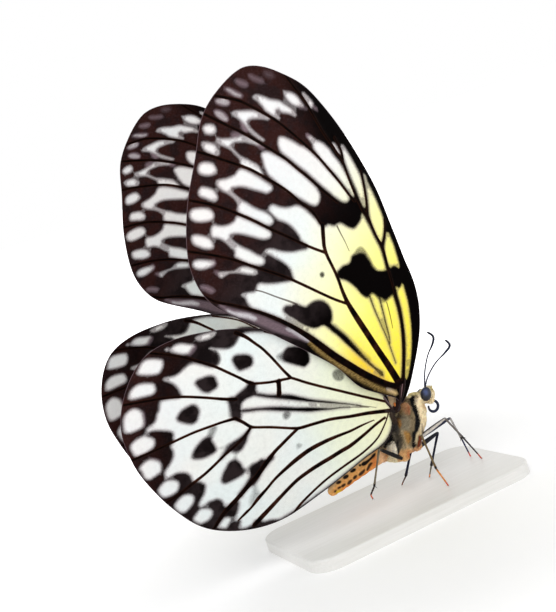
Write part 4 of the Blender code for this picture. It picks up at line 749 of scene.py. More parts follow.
# By region: share of the roots that carry a tuft, lift from the skin, length and girth.
COAT_SHARES = (0.8, 1.0, 0.7)
COAT_LIFTS = (0.42, 0.75, 0.12)
COAT_LENGTHS = (0.55, 0.34, 0.24)
COAT_GIRTHS = (1.0, 0.85, 0.8)
TUFT_RADII = (0.026, 0.044)
STREAKS_FRONT = 1.6          # behind this the thorax's tufts differ more from one another,
STREAKED = 0.34              # by this share of their colour
PLAIN = 0.14                 # elsewhere
COAT_MAP_AXIS = -8.5         # the map goes round the body at this height,
COAT_MAP_BACK = -21.5        # from this place
COAT_MAP_LENGTH = 29.5       # forward over this length
EYE_CLEARANCE = 1.12         # fur starts outside the eye's radii times this
COLLAR_START = 1.0           # the thorax's fur is two pieces, which meet here
# Pieces of the coat and their slots, in the order of the regions, with the collar as the last.
COAT_PIECES = [("thorax_fur", "body_scales"), ("head_fur", "head_scales"),
               ("abdomen_scales", "abdomen_scales"), ("collar_fur", "body_scales")]

# ---- body paint ----
# Patches of the body's right side, in photograph pixels: colour, strength, softness in pixels.
BODY_PAINT = [
    # abdomen
    ((229, 166, 98), 1.0, 2.0, [(386, 447), (389, 455), (386, 464), (370, 476), (345, 494), (330, 500),
        (322, 497), (326, 486), (345, 468), (366, 452), (378, 446)]),
    ((236, 200, 150), 0.6, 1.5, [(374, 452), (360, 461), (345, 472), (333, 483), (327, 491), (330, 492),
        (337, 484), (349, 473.5), (363, 463.5), (374, 456)]),
    ((222, 128, 48), 0.7, 1.5, [(378, 462), (372, 470), (362, 478), (352, 485), (343, 491), (340, 490),
        (350, 482.5), (362, 474), (372, 465)]),
    ((228, 190, 40), 0.8, 0.8, [(336, 493.5), (342, 491), (341, 489.5), (336, 491.5)]),
    ((215, 120, 60), 0.7, 1.6, [(372, 455), (377, 456), (378, 464), (373, 466)]),
    ((225, 180, 140), 0.9, 1.6, [(378, 452), (386, 453), (387, 464), (379, 465)]),
    # thorax
    ((148, 132, 102), 1.0, 1.5, [(397, 398), (411, 398), (413, 405), (416, 415), (416, 430), (413, 447),
        (405, 452), (398, 440), (393, 425), (393, 410)]),
    ((110, 85, 45), 0.7, 1.5, [(396, 404), (402, 404), (402, 416), (396, 416)]),
    ((178, 124, 84), 0.7, 1.8, [(401, 401), (406, 400), (409, 403), (409.5, 410), (410, 413), (408, 414),
        (405, 412), (402, 408)]),
    ((186, 104, 62), 0.6, 1.2, [(407.8, 405), (409.2, 405.5), (410.2, 412.5), (408.6, 412.5)]),
    ((166, 158, 138), 0.6, 2.6, [(400, 415), (406, 415), (410, 418), (409, 430), (403, 430), (400, 422)]),
    ((190, 132, 58), 0.8, 1.0, [(397, 416), (400, 418), (402, 424), (400, 427), (397, 423)]),
    ((196, 150, 80), 0.9, 1.2, [(404, 431), (409, 431), (411, 435), (410.5, 441), (407.5, 443),
        (405.5, 437)]),
    ((140, 90, 30), 0.8, 0.7, [(409.5, 433), (410.8, 434), (410.8, 439), (409.8, 439)]),
    ((222, 200, 160), 0.8, 1.2, [(402, 430), (405, 437), (408, 444), (411, 447), (411, 452), (406, 452),
        (402.5, 442), (399, 432)]),
    ((44, 26, 19), 0.95, 1.6, [(386, 409), (396, 412), (397, 430), (388, 431)]),
    ((40, 38, 36), 0.85, 1.6, [(390, 424), (397, 424), (401, 432), (403, 440), (401, 452), (398, 458.5),
        (397, 450), (394, 441), (387, 446), (381, 449), (384, 443), (388, 434)]),
    # hind coxa: its own pale cream, painted lighter still as painted light against the shade it lies in
    ((255, 246, 226), 0.95, 1.2, [(388, 445), (393, 441), (396, 443), (397.5, 450), (397.8, 456),
        (392, 453), (387, 450)]),
    ((230, 180, 120), 0.9, 1.5, [(400, 450), (405, 449), (410, 448), (410.5, 455), (408, 459.5),
        (403, 462), (399, 460)]),
    ((214, 130, 75), 0.7, 1.0, [(408, 450), (409.8, 450), (409.8, 456), (408, 456)]),
    ((4, 4, 6), 1.0, 0.8, [(388, 433), (391, 431.5), (393, 436), (395, 441), (391.5, 441), (388.5, 444),
        (386, 448), (383, 450), (380, 449.5), (384, 444)]),
    ((4, 4, 6), 0.95, 0.8, [(395.5, 441), (398, 440.5), (399.2, 446), (399.8, 451), (399.4, 457.5),
        (398.2, 458.2), (397.6, 452), (396.4, 446)]),
    ((85, 78, 60), 0.8, 1.0, [(400.5, 433), (403.5, 436), (405.6, 442), (406.8, 447.6), (404.6, 446),
        (402.6, 440)]),
    # collar, fore hip and head
    ((238, 226, 170), 0.8, 1.5, [(407, 396), (411, 391), (418, 388), (419, 394), (412, 397)]),
    ((120, 110, 105), 0.6, 0.6, [(421.6, 423), (422.6, 423), (423.2, 434), (422, 434)]),
    ((90, 85, 95), 0.4, 0.8, [(415.5, 399.5), (417, 399.5), (417.2, 403), (415.7, 403)]),
    ((95, 75, 55), 0.8, 0.6, [(412.4, 396.6), (417.8, 396), (418, 398), (415, 398.4), (412.6, 398.6)]),
    ((190, 180, 110), 0.6, 1.2, [(428.5, 386), (432, 386), (433, 391), (430, 391)]),
    ((200, 170, 120), 0.8, 1.0, [(422.5, 403), (427, 403), (427, 407.5), (422.5, 407.5)]),
    ((238, 220, 180), 1.0, 1.0, [(415.5, 432), (419, 430), (421, 434), (418.5, 440), (417, 446),
        (411, 450), (411.5, 446.5), (415.5, 445), (416, 439)]),
    ((228, 174, 124), 0.9, 1.2, [(413, 447.5), (418, 445), (422, 444.5), (422.5, 449), (415, 453),
        (410, 455), (410, 450)]),
    ((120, 50, 15), 1.0, 0.8, [(419, 434.5), (421, 436), (421.4, 440), (420.6, 443.5), (419.6, 445.6),
        (418.6, 447.4), (417.8, 444), (418.4, 439.5)]),
]
# The black band behind the collar, which is also a groove.
BODY_BAND = [
    [(410.2, 399.5), (411.6, 397.2), (413.8, 397), (414.2, 400), (415.2, 404), (416.8, 408),
     (418.2, 413), (419.4, 417), (420, 421), (419.6, 425), (418.4, 429), (417.4, 431.2),
     (415.6, 431.2), (415.2, 428), (415.4, 424), (416, 420.5), (415.6, 416.5), (414.4, 412),
     (412.8, 408.5), (411.6, 405), (410.6, 402)],
    [(413, 431.5), (416, 431.3), (415.6, 434.5), (415.3, 438), (414.9, 441.5), (416.5, 443.2),
     (415.4, 445.6), (413.2, 447), (412.6, 444), (412.9, 440), (412.8, 436)],
]
ABDOMEN_SPOTS = [
    [(371, 457), (375, 453), (375, 455.6), (371.5, 459), (368.6, 462), (366, 464.6), (363.5, 465.6),
        (361.5, 465), (362.5, 462.6), (366, 461), (369, 458.8)],
    [(359, 464.6), (360.5, 464.2), (361, 465.4), (360, 466.4), (359, 465.8)],
    [(350.2, 471.4), (351.5, 470), (354, 468.4), (355.6, 468.8), (355.6, 470.2), (353.6, 471.8),
        (351.4, 472.4)],
    [(343, 477.6), (344.5, 475.8), (346.5, 474.8), (348.4, 475.2), (348.2, 477), (346.4, 478.4),
        (344.2, 479)],
    [(336.2, 482.4), (338, 481.2), (340, 480.8), (341, 481.2), (340.6, 482.8), (338.6, 483.8),
        (336.6, 483.8)],
]
ABDOMEN_LOW_SPOTS = [
    [(372, 463), (370, 466.5), (368, 470), (366.8, 470.5), (367.5, 467.5), (369.5, 464)],
    [(364.8, 469.5), (364, 472), (361, 475), (359, 475.5), (359.5, 473.5), (362.5, 471)],
    [(356.8, 475.4), (356, 477.6), (354.4, 479), (353.2, 478.6), (354.2, 476.4)],
    [(351.8, 480), (351, 482), (349.4, 484), (347.8, 484), (348.2, 482.2), (350, 480.4)],
    [(345.4, 484), (344, 486.2), (342.4, 487), (341.6, 486), (343.4, 484.2)],
    [(341, 486.8), (339.4, 488.4), (338, 488.8), (338.4, 487.4)],
    [(336.2, 490.6), (335.4, 491.8), (334.4, 492), (334.8, 490.8)],
]
# The dark marks: outlines, colour, strength, softness and growth in pixels.
BODY_MARKS = [(ABDOMEN_SPOTS, (12, 8, 8), 1.0, 0.6, 0.3),
              (ABDOMEN_LOW_SPOTS, (28, 17, 13), 0.95, 0.7, 0.5),
              (BODY_BAND, (3, 3, 5), 1.0, 0.8, 0.5)]
BODY_CREAM = (246, 230, 196)
# The thorax's back, which the photograph doesn't show: dark, with a pale line on each side.
BACK_DARK = (62, 52, 46)
BACK_LINE = (214, 196, 160)
BACK_FRONT = 1.4
BACK_HALF_WIDTH = 2.6
BACK_LINE_OFFSET = 1.25
BACK_LINE_WIDTH = 0.28
ABDOMEN_BACK = (150, 122, 92)


# ---- colours ----
def paint(red, green, blue):
    """A linear colour from an 8-bit screen colour."""
    shares = (level / 255 for level in (red, green, blue))
    return tuple(((share + 0.055) / 1.055) ** 2.4 if share > 0.04 else share / 12.92
                 for share in shares)


WHITE = paint(230, 231, 226)
BLUE_WHITE = paint(223, 231, 230)
GREENISH = paint(232, 236, 208)
CREAM = paint(245, 240, 166)
YELLOW = paint(250, 231, 66)
AMBER = paint(246, 203, 10)
PALE_YELLOW = paint(248, 242, 122)
BLACK = paint(4, 2, 2)
UMBER = paint(43, 21, 18)
CHARCOAL = paint(24, 18, 19)
SMOKE = paint(44, 36, 37)
VEIN_BROWN = paint(50, 24, 15)
VEIN_EDGE = paint(84, 44, 24)
MAUVE = paint(142, 120, 128)
STRIP_GREY = paint(88, 76, 84)
TAN = paint(172, 142, 84)
ASH = paint(166, 168, 166)
STRAW = paint(237, 235, 188)
FROST = paint(222, 215, 217)
PALE_MAUVE = paint(172, 150, 160)
STRIP_CREAM = paint(236, 202, 142)
STRIP_PALE = paint(196, 192, 196)
EYE_DARK = paint(7, 8, 15)
# Painted highlight: the pale blue patch laid into the eyes' colour.
EYE_PAINTED_HIGHLIGHT = paint(92, 108, 164)
EYE_BROWN = paint(70, 30, 24)
EYE_CLOUD = paint(14, 16, 32)
FACET_GLINT = paint(110, 116, 150)
TONGUE_BLUE = paint(30, 36, 62)
FEELER_BASE = paint(30, 36, 70)
FEELER_TIP = paint(20, 24, 42)
LEG_JOINT = paint(24, 20, 22)
CLAW_BROWN = paint(30, 22, 20)
DUST_GREY = paint(150, 145, 140)


# ---- curves in the plane and in space ----
def smooth_path(points, closed=False, steps=6):
    """Points along one smooth curve through the given points."""
    knots = [Vector(point) for point in points]
    count = len(knots)
    path = []
    for index in range(count if closed else count - 1):
        start = knots[index]
        end = knots[(index + 1) % count]
        before = knots[index - 1] if closed or index > 0 else start
        after = knots[(index + 2) % count] if closed or index + 2 < count else end
        reach = (end - start).length / 3
        leave = start + (end - before).normalized() * reach
        arrive = end - (after - start).normalized() * reach
        path += interpolate_bezier(start, leave, arrive, end, steps + 1)[:-1]
    return path if closed else path + [knots[-1]]


def even_points(path, step, closed=False):
    """The path resampled so that its points lie about a step apart, as an array."""
    knots = np.array([tuple(point) for point in path], float)
    if closed:
        knots = np.vstack([knots, knots[:1]])
    travelled = np.r_[0.0, np.cumsum(np.linalg.norm(np.diff(knots, axis=0), axis=1))]
    pieces = max(2, round(travelled[-1] / step))
    goals = np.linspace(0, travelled[-1], pieces + 1)
    if closed:
        goals = goals[:-1]
    return np.column_stack([np.interp(goals, travelled, knots[:, axis])
                            for axis in range(knots.shape[1])])


def smoothstep(share):
    """An even step from 0 to 1."""
    return share * share * (3 - 2 * share)


# ---- camera and wing surface ----
def camera_axes():
    """The camera's right, up and aim."""
    right = CAMERA_AIM.cross(CAMERA_UP).normalized()
    return right, right.cross(CAMERA_AIM).normalized(), CAMERA_AIM.normalized()


def outward(aft, up, lift):
    """How far the right wing's middle surface stands off the middle plane."""
    reach = np.hypot(aft - HINGE_AFT, up - HINGE_UP)
    flare = HINGE_FLARE * (1 - np.exp(-reach / FLARE_REACH))
    rise = up / CAMBER_SPAN
    run = aft / CAMBER_SPAN
    camber = CAMBER_UP * rise ** 2 + CAMBER_AFT * run ** 2 + CAMBER_TWIST * rise * run
    return HINGE_LATERAL + lift + flare + camber


def on_wing(pixels, lift):
    """The points (aft, up) of the right wing that the camera sees at these pixels."""
    right, up, aim = (np.array(axis) for axis in camera_axes())
    pixels = np.asarray(pixels, float)
    across = (pixels[:, 0] - FRAME_WIDTH / 2)[:, None]
    down = (pixels[:, 1] - FRAME_HEIGHT / 2)[:, None]
    rays = aim * FOCAL_PIXELS + right * across - up * down
    eye = np.array(CAMERA_PLACE - INSECT)
    stand_off = np.full(len(pixels), STAND_OFF_GUESS)
    for _ in range(STAND_OFF_ROUNDS):
        share = (-stand_off - eye[1]) / rays[:, 1]
        places = eye + rays * share[:, None]
        stand_off = 0.5 * stand_off + 0.5 * outward(-places[:, 0], places[:, 2], lift)
    return np.column_stack([-places[:, 0], places[:, 2]])


def wing_surface(plan, lift):
    """The right wing's middle surface and its inward normals, from the insect's centre."""
    aft, up = plan[:, 0], plan[:, 1]
    nudge = 0.01
    here = outward(aft, up, lift)
    slope_aft = (outward(aft + nudge, up, lift) - here) / nudge
    slope_up = (outward(aft, up + nudge, lift) - here) / nudge
    normals = np.column_stack([-slope_aft, np.ones(len(plan)), slope_up])
    normals /= np.linalg.norm(normals, axis=1)[:, None]
    return np.column_stack([-aft, -here, up]), normals


def left_plan(plan, own_set):
    """Where points of the right wing's plan lie in the left wing's."""
    aft = (plan[:, 0] - HINGE_AFT) / CAMBER_SPAN
    up = (plan[:, 1] - HINGE_UP) / CAMBER_SPAN
    terms = np.array([aft, up, aft * aft, aft * up, up * up])
    return plan + (np.array(own_set) @ terms).T


# ---- distances in a wing's plan ----
def segment_distance(points, starts, ends, values=None):
    """Distance from each point to a polyline, and the line's value at the nearest place."""
    best = np.full(len(points), FAR_AWAY)
    value = np.zeros(len(points))
    for number, (start, end) in enumerate(zip(starts, ends)):
        low = np.minimum(start, end) - FAR_AWAY
        high = np.maximum(start, end) + FAR_AWAY
        near = np.nonzero(((points > low) & (points < high)).all(axis=1))[0]
        if not len(near):
            continue
        along = end - start
        share = np.clip(((points[near] - start) @ along) / max(1e-12, along @ along), 0, 1)
        gap = np.linalg.norm(points[near] - start - share[:, None] * along, axis=1)
        closer = gap < best[near]
        hit = near[closer]
        best[hit] = gap[closer]
        if values is not None:
            value[hit] = values[number] + share[closer] * (values[number + 1] - values[number])
    return best, value


def within(points, loop):
    """Whether each point lies inside a closed loop."""
    inside = np.zeros(len(points), bool)
    for start, end in zip(loop, np.roll(loop, -1, axis=0)):
        straddles = (start[1] > points[:, 1]) != (end[1] > points[:, 1])
        if straddles.any():
            reach = (points[:, 1] - start[1]) * (end[0] - start[0]) / (end[1] - start[1] + 1e-12)
            inside ^= straddles & (points[:, 0] < start[0] + reach)
    return inside


def signed_distance(points, loop):
    """Positive inside the loop, negative outside it."""
    result = np.full(len(points), -FAR_AWAY)
    low = loop.min(axis=0) - FAR_AWAY
    high = loop.max(axis=0) + FAR_AWAY
    near = np.nonzero(((points > low) & (points < high)).all(axis=1))[0]
    if len(near):
        gap, _ = segment_distance(points[near], loop, np.roll(loop, -1, axis=0))
        result[near] = np.where(within(points[near], loop), gap, -gap)
    return result


def mark_loop(pixels, lift):
    """A mark's outline as a smooth loop in the wing's plan."""
    return even_points(smooth_path(on_wing(pixels, lift).tolist(), True, 3), MARK_STEP, True)


def marks_on_wing(table, lift):
    """The outlines of a table of marks as loops."""
    return {name: mark_loop(pixels, lift) for name, pixels in table.items()}


def lines_on_wing(table, lift):
    """Veins in the wing's plan: points and the half width at each."""
    lines = {}
    for name, knots in table.items():
        plan = on_wing([knot[:2] for knot in knots], lift)
        widths = [knot[2] if len(knot) > 2 else VEIN_WIDTH for knot in knots]
        path = smooth_path([(x, y, w) for (x, y), w in zip(plan, widths)], False, 4)
        even = even_points(path, MARK_STEP)
        lines[name] = (even[:, :2], even[:, 2] / 2)
    return lines


def ribbon_distance(points, lines):
    """Positive inside the nearest line's width, negative outside; and nearness 0 to 1."""
    inside = np.full(len(points), -FAR_AWAY)
    ridge = np.zeros(len(points))
    for path, half in lines.values():
        gap, width = segment_distance(points, path[:-1], path[1:], half)
        reached = gap < FAR_AWAY
        inside = np.where(reached, np.maximum(inside, width - gap), inside)
        crown = np.clip(1 - (gap / np.maximum(width, 0.05)) ** 2, 0, 1) ** 0.5
        ridge = np.where(reached, np.maximum(ridge, crown * np.minimum(1, width / 0.25)), ridge)
    return inside, ridge


def soft_marks(points, table, lift):
    """Strength 0 to 1 of soft-edged marks."""
    total = np.zeros(len(points))
    for strength, softness, pixels in table.values():
        depth = signed_distance(points, mark_loop(pixels, lift)) / softness
        total = np.maximum(total, strength * smoothstep(np.clip(depth * 0.5 + 0.5, 0, 1)))
    return total


# ---- wing mesh ----
def thin_out(groups):
    """Points from the groups in turn, each kept only where it is clear of those before it."""
    kept = []
    cells = {}
    size = FIELD_CLEARANCE
    for points, clearance in groups:
        for x, y in points:
            column, row = int(x // size), int(y // size)
            crowded = False
            for near_column in (column - 1, column, column + 1):
                for near_row in (row - 1, row, row + 1):
                    for other in cells.get((near_column, near_row), ()):
                        if (other[0] - x) ** 2 + (other[1] - y) ** 2 < clearance * clearance:
                            crowded = True
                            break
            if not crowded:
                kept.append((x, y))
                cells.setdefault((column, row), []).append((x, y))
    return kept


def beside(loop, offset, closed=True):
    """The points of a path moved sideways by an offset."""
    ahead = np.roll(loop, -1, axis=0) - np.roll(loop, 1, axis=0)
    if not closed:
        ahead = np.gradient(loop, axis=0)
    length = np.maximum(1e-9, np.linalg.norm(ahead, axis=1))[:, None]
    return loop + np.column_stack([-ahead[:, 1], ahead[:, 0]]) / length * offset


def soft_bands(marks, lift):
    """Loops along the middle and both sides of every soft mark's edge."""
    bands = []
    for _, softness, pixels in marks:
        loop = mark_loop(pixels, lift)
        bands += [loop, beside(loop, softness), beside(loop, -softness)]
    return bands


def wing_plan(outline, loops, lines, bands):
    """A fine triangle mesh of the wing's plan, with points along every mark and vein."""
    rim = even_points(smooth_path(outline, True), RIM_STEP, True)
    crests = [path for path, half in lines.values()]
    sides = []
    for path, half in lines.values():
        across = beside(path, 1.0, False) - path
        for sign in (-1, 1):
            for offset in (-VEIN_INSIDE, VEIN_OUTSIDE):
                sides.append(path + across * (sign * (half[:, None] + offset)))
    for loop in loops.values():
        sides += [beside(loop, MARK_OFFSET), beside(loop, -MARK_OFFSET)]
    low, high = rim.min(axis=0), rim.max(axis=0)
    rows = np.arange(low[1], high[1], FIELD_STEP * FIELD_ROW)
    field = []
    for number, y in enumerate(rows):
        for x in np.arange(low[0] + FIELD_STEP / 2 * (number % 2), high[0], FIELD_STEP):
            field.append((x, y))
    inner = beside(rim, RIM_INSET if polygon_area(rim) > 0 else -RIM_INSET)
    groups = []
    for points, clearance in ((np.vstack(crests), POINT_CLEARANCE), (inner, POINT_CLEARANCE),
                              (np.vstack(sides), POINT_CLEARANCE), (np.vstack(bands), SOFT_CLEARANCE),
                              (np.array(field), FIELD_CLEARANCE)):
        depth = signed_distance(points, rim)
        groups.append((points[depth > RIM_MARGIN], clearance))
    spread = thin_out(groups)
    points = [tuple(point) for point in rim] + spread
    edges = [(index, (index + 1) % len(rim)) for index in range(len(rim))]
    plan = delaunay_2d_cdt([Vector(point) for point in points], edges, [], 1, 1e-5)
    return np.array([tuple(point) for point in plan[0]]), plan[2], rim


def polygon_area(loop):
    """The area of a loop, negative where it runs clockwise."""
    following = np.roll(loop, -1, axis=0)
    return 0.5 * float((loop[:, 0] * following[:, 1] - following[:, 0] * loop[:, 1]).sum())


def add_attribute(mesh, name, values, kind="FLOAT"):
    """A value, or a vector, for each point of a mesh."""
    layer = mesh.attributes.new(name, kind, "POINT")
    field = "value" if kind == "FLOAT" else "vector"
    layer.data.foreach_set(field, np.asarray(values, np.float32).ravel())


def place_mesh(mesh, name, material, replaced=()):
    """The mesh as an object that rides on the model."""
    bm = bmesh.new()
    bm.from_mesh(mesh)
    bmesh.ops.recalc_face_normals(bm, faces=bm.faces)
    bm.to_mesh(mesh)
    bm.free()
    mesh.shade_smooth()
    mesh.materials.append(material)
    thing = bpy.data.objects.new(name, mesh)
    bpy.context.scene.collection.objects.link(thing)
    if replaced:
        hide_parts(*replaced)
    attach(thing, "root")


def wing_pair(label, outline, tables, lift, own_set, material):
    """The right and left wings, each one closed mesh with its markings as attributes."""
    light = marks_on_wing(tables["light"], lift)
    dark = marks_on_wing(tables["dark"], lift)
    veins = lines_on_wing(tables["veins"], lift)
    lines = lines_on_wing(tables["lines"], lift)
    hairlines = lines_on_wing(tables["hairlines"], lift)
    soft = [mark for kind in SOFT_KINDS for mark in tables.get(kind, {}).values()]
    plan, triangles, rim = wing_plan(outline, {**light, **dark}, {**veins, **lines, **hairlines},
                                     soft_bands(soft, lift))
    lightness = np.full(len(plan), -FAR_AWAY)
    for loop in light.values():
        lightness = np.maximum(lightness, signed_distance(plan, loop))
    darkness = -lightness
    for loop in dark.values():
        darkness = np.maximum(darkness, signed_distance(plan, loop))
    vein, ridge = ribbon_distance(plan, veins)
    line, line_ridge = ribbon_distance(plan, lines)
    hairline, _ = ribbon_distance(plan, hairlines)
    rim_depth, _ = segment_distance(plan, rim, np.roll(rim, -1, axis=0))
    values = {"dark": np.maximum(darkness, line), "vein": vein, "hairline": hairline, "rim": rim_depth}
    for kind in SOFT_KINDS:
        values[kind] = soft_marks(plan, tables.get(kind, {}), lift)
    ridge = np.maximum(ridge, line_ridge * LINE_RISE)
    edge = np.clip(rim_depth / RIM_TAPER, RIM_THINNEST, 1.0)
    half = (MEMBRANE / 2 + VEIN_RISE * ridge) * edge
    count = len(plan)
    faces = []
    uses = {}
    for a, b, c in triangles:
        faces += [(a, b, c), (c + count, b + count, a + count)]
        for pair in ((a, b), (b, c), (c, a)):
            uses.setdefault((min(pair), max(pair)), []).append(pair)
    for pairs in uses.values():
        if len(pairs) == 1:
            a, b = pairs[0]
            faces.append((b, a, a + count, b + count))
    for side_name, sign in (("right", 1), ("left", -1)):
        name = label + "_" + side_name
        middle, inward = wing_surface(plan if sign > 0 else left_plan(plan, own_set), lift)
        coordinates = np.vstack([middle - inward * half[:, None], middle + inward * half[:, None]])
        mesh = bpy.data.meshes.new(name + "_scaled")
        placed = (coordinates * (1, sign, 1) + np.array(INSECT)) * MM
        turned = faces if sign > 0 else [tuple(reversed(face)) for face in faces]
        mesh.from_pydata(placed.tolist(), [], turned)
        for kind, value in values.items():
            add_attribute(mesh, kind, np.r_[value, value])
        plan_vectors = np.column_stack([plan, np.zeros(count)])
        sides = np.vstack([plan_vectors, plan_vectors + (0, 0, SIDES_APART)])
        add_attribute(mesh, "plan", sides, "FLOAT_VECTOR")
        place_mesh(mesh, name + "_scaled", material, (name,))


# ---- material nodes ----
class Nodes:
    """Short forms for the nodes of one material."""

    def __init__(self, name):
        self.material = bpy.data.materials.new(name)
        self.material.use_nodes = True
        self.tree = self.material.node_tree
        self.shader = self.tree.nodes["Principled BSDF"]

    def wire(self, value, socket):
        """Join an output to a socket, or set the socket to a number or colour."""
        if isinstance(value, bpy.types.NodeSocket):
            self.tree.links.new(value, socket)
        elif isinstance(value, tuple) and len(value) == 3 and socket.type == "RGBA":
            socket.default_value = (*value, 1.0)
        else:
            socket.default_value = value

    def set(self, **sockets):
        """Set or wire the shader's sockets, named with _ for a space."""
        for name, value in sockets.items():
            self.wire(value, self.shader.inputs[name.replace("_", " ")])

    def attribute(self, name, output="Fac"):
        node = self.tree.nodes.new("ShaderNodeAttribute")
        node.attribute_name = name
        return node.outputs[output]

    def math(self, operation, first, second=0.0, clamp=False):
        node = self.tree.nodes.new("ShaderNodeMath")
        node.operation = operation
        node.use_clamp = clamp
        self.wire(first, node.inputs[0])
        self.wire(second, node.inputs[1])
        return node.outputs[0]

    def times(self, first, second, clamp=False):
        return self.math("MULTIPLY", first, second, clamp)

    def plus(self, first, second):
        return self.math("ADD", first, second)

    def minus(self, first, second):
        return self.math("SUBTRACT", first, second)

    def distance(self, first, second):
        """The length of a vector from its two parts."""
        return self.math("POWER", self.plus(self.times(first, first), self.times(second, second)), 0.5)

    def ramp(self, value, low, high, out_low=0.0, out_high=1.0, smooth=True):
        node = self.tree.nodes.new("ShaderNodeMapRange")
        node.interpolation_type = "SMOOTHSTEP" if smooth else "LINEAR"
        for socket, number in zip(node.inputs[1:5], (low, high, out_low, out_high)):
            socket.default_value = number
        self.wire(value, node.inputs[0])
        return node.outputs[0]

    def mix(self, share, first, second, blend="MIX"):
        node = self.tree.nodes.new("ShaderNodeMix")
        node.data_type = "RGBA"
        node.blend_type = blend
        self.wire(share, node.inputs[0])
        self.wire(first, node.inputs[6])
        self.wire(second, node.inputs[7])
        return node.outputs[2]

    def noise(self, where, scale, detail=3.0, roughness=0.55):
        node = self.tree.nodes.new("ShaderNodeTexNoise")
        node.inputs["Scale"].default_value = scale
        node.inputs["Detail"].default_value = detail
        node.inputs["Roughness"].default_value = roughness
        self.wire(where, node.inputs["Vector"])
        return node.outputs["Fac"]

    def cells(self, where, scale, output, randomness=1.0):
        node = self.tree.nodes.new("ShaderNodeTexVoronoi")
        node.inputs["Scale"].default_value = scale
        node.inputs["Randomness"].default_value = randomness
        self.wire(where, node.inputs["Vector"])
        return node.outputs[output]

    def stretch(self, where, factors, rotation=(0.0, 0.0, 0.0)):
        node = self.tree.nodes.new("ShaderNodeMapping")
        node.inputs["Scale"].default_value = factors
        node.inputs["Rotation"].default_value = rotation
        self.wire(where, node.inputs["Vector"])
        return node.outputs[0]

    def separate(self, vector):
        node = self.tree.nodes.new("ShaderNodeSeparateXYZ")
        self.wire(vector, node.inputs[0])
        return node.outputs

    def place(self):
        """The surface's own coordinates, in millimetres."""
        node = self.tree.nodes.new("ShaderNodeTexCoord")
        return self.stretch(node.outputs["Object"], (1 / MM, 1 / MM, 1 / MM))

    def bump(self, height, distance, strength=1.0):
        node = self.tree.nodes.new("ShaderNodeBump")
        node.inputs["Distance"].default_value = distance * MM
        node.inputs["Strength"].default_value = strength
        self.wire(height, node.inputs["Height"])
        self.wire(node.outputs[0], self.shader.inputs["Normal"])


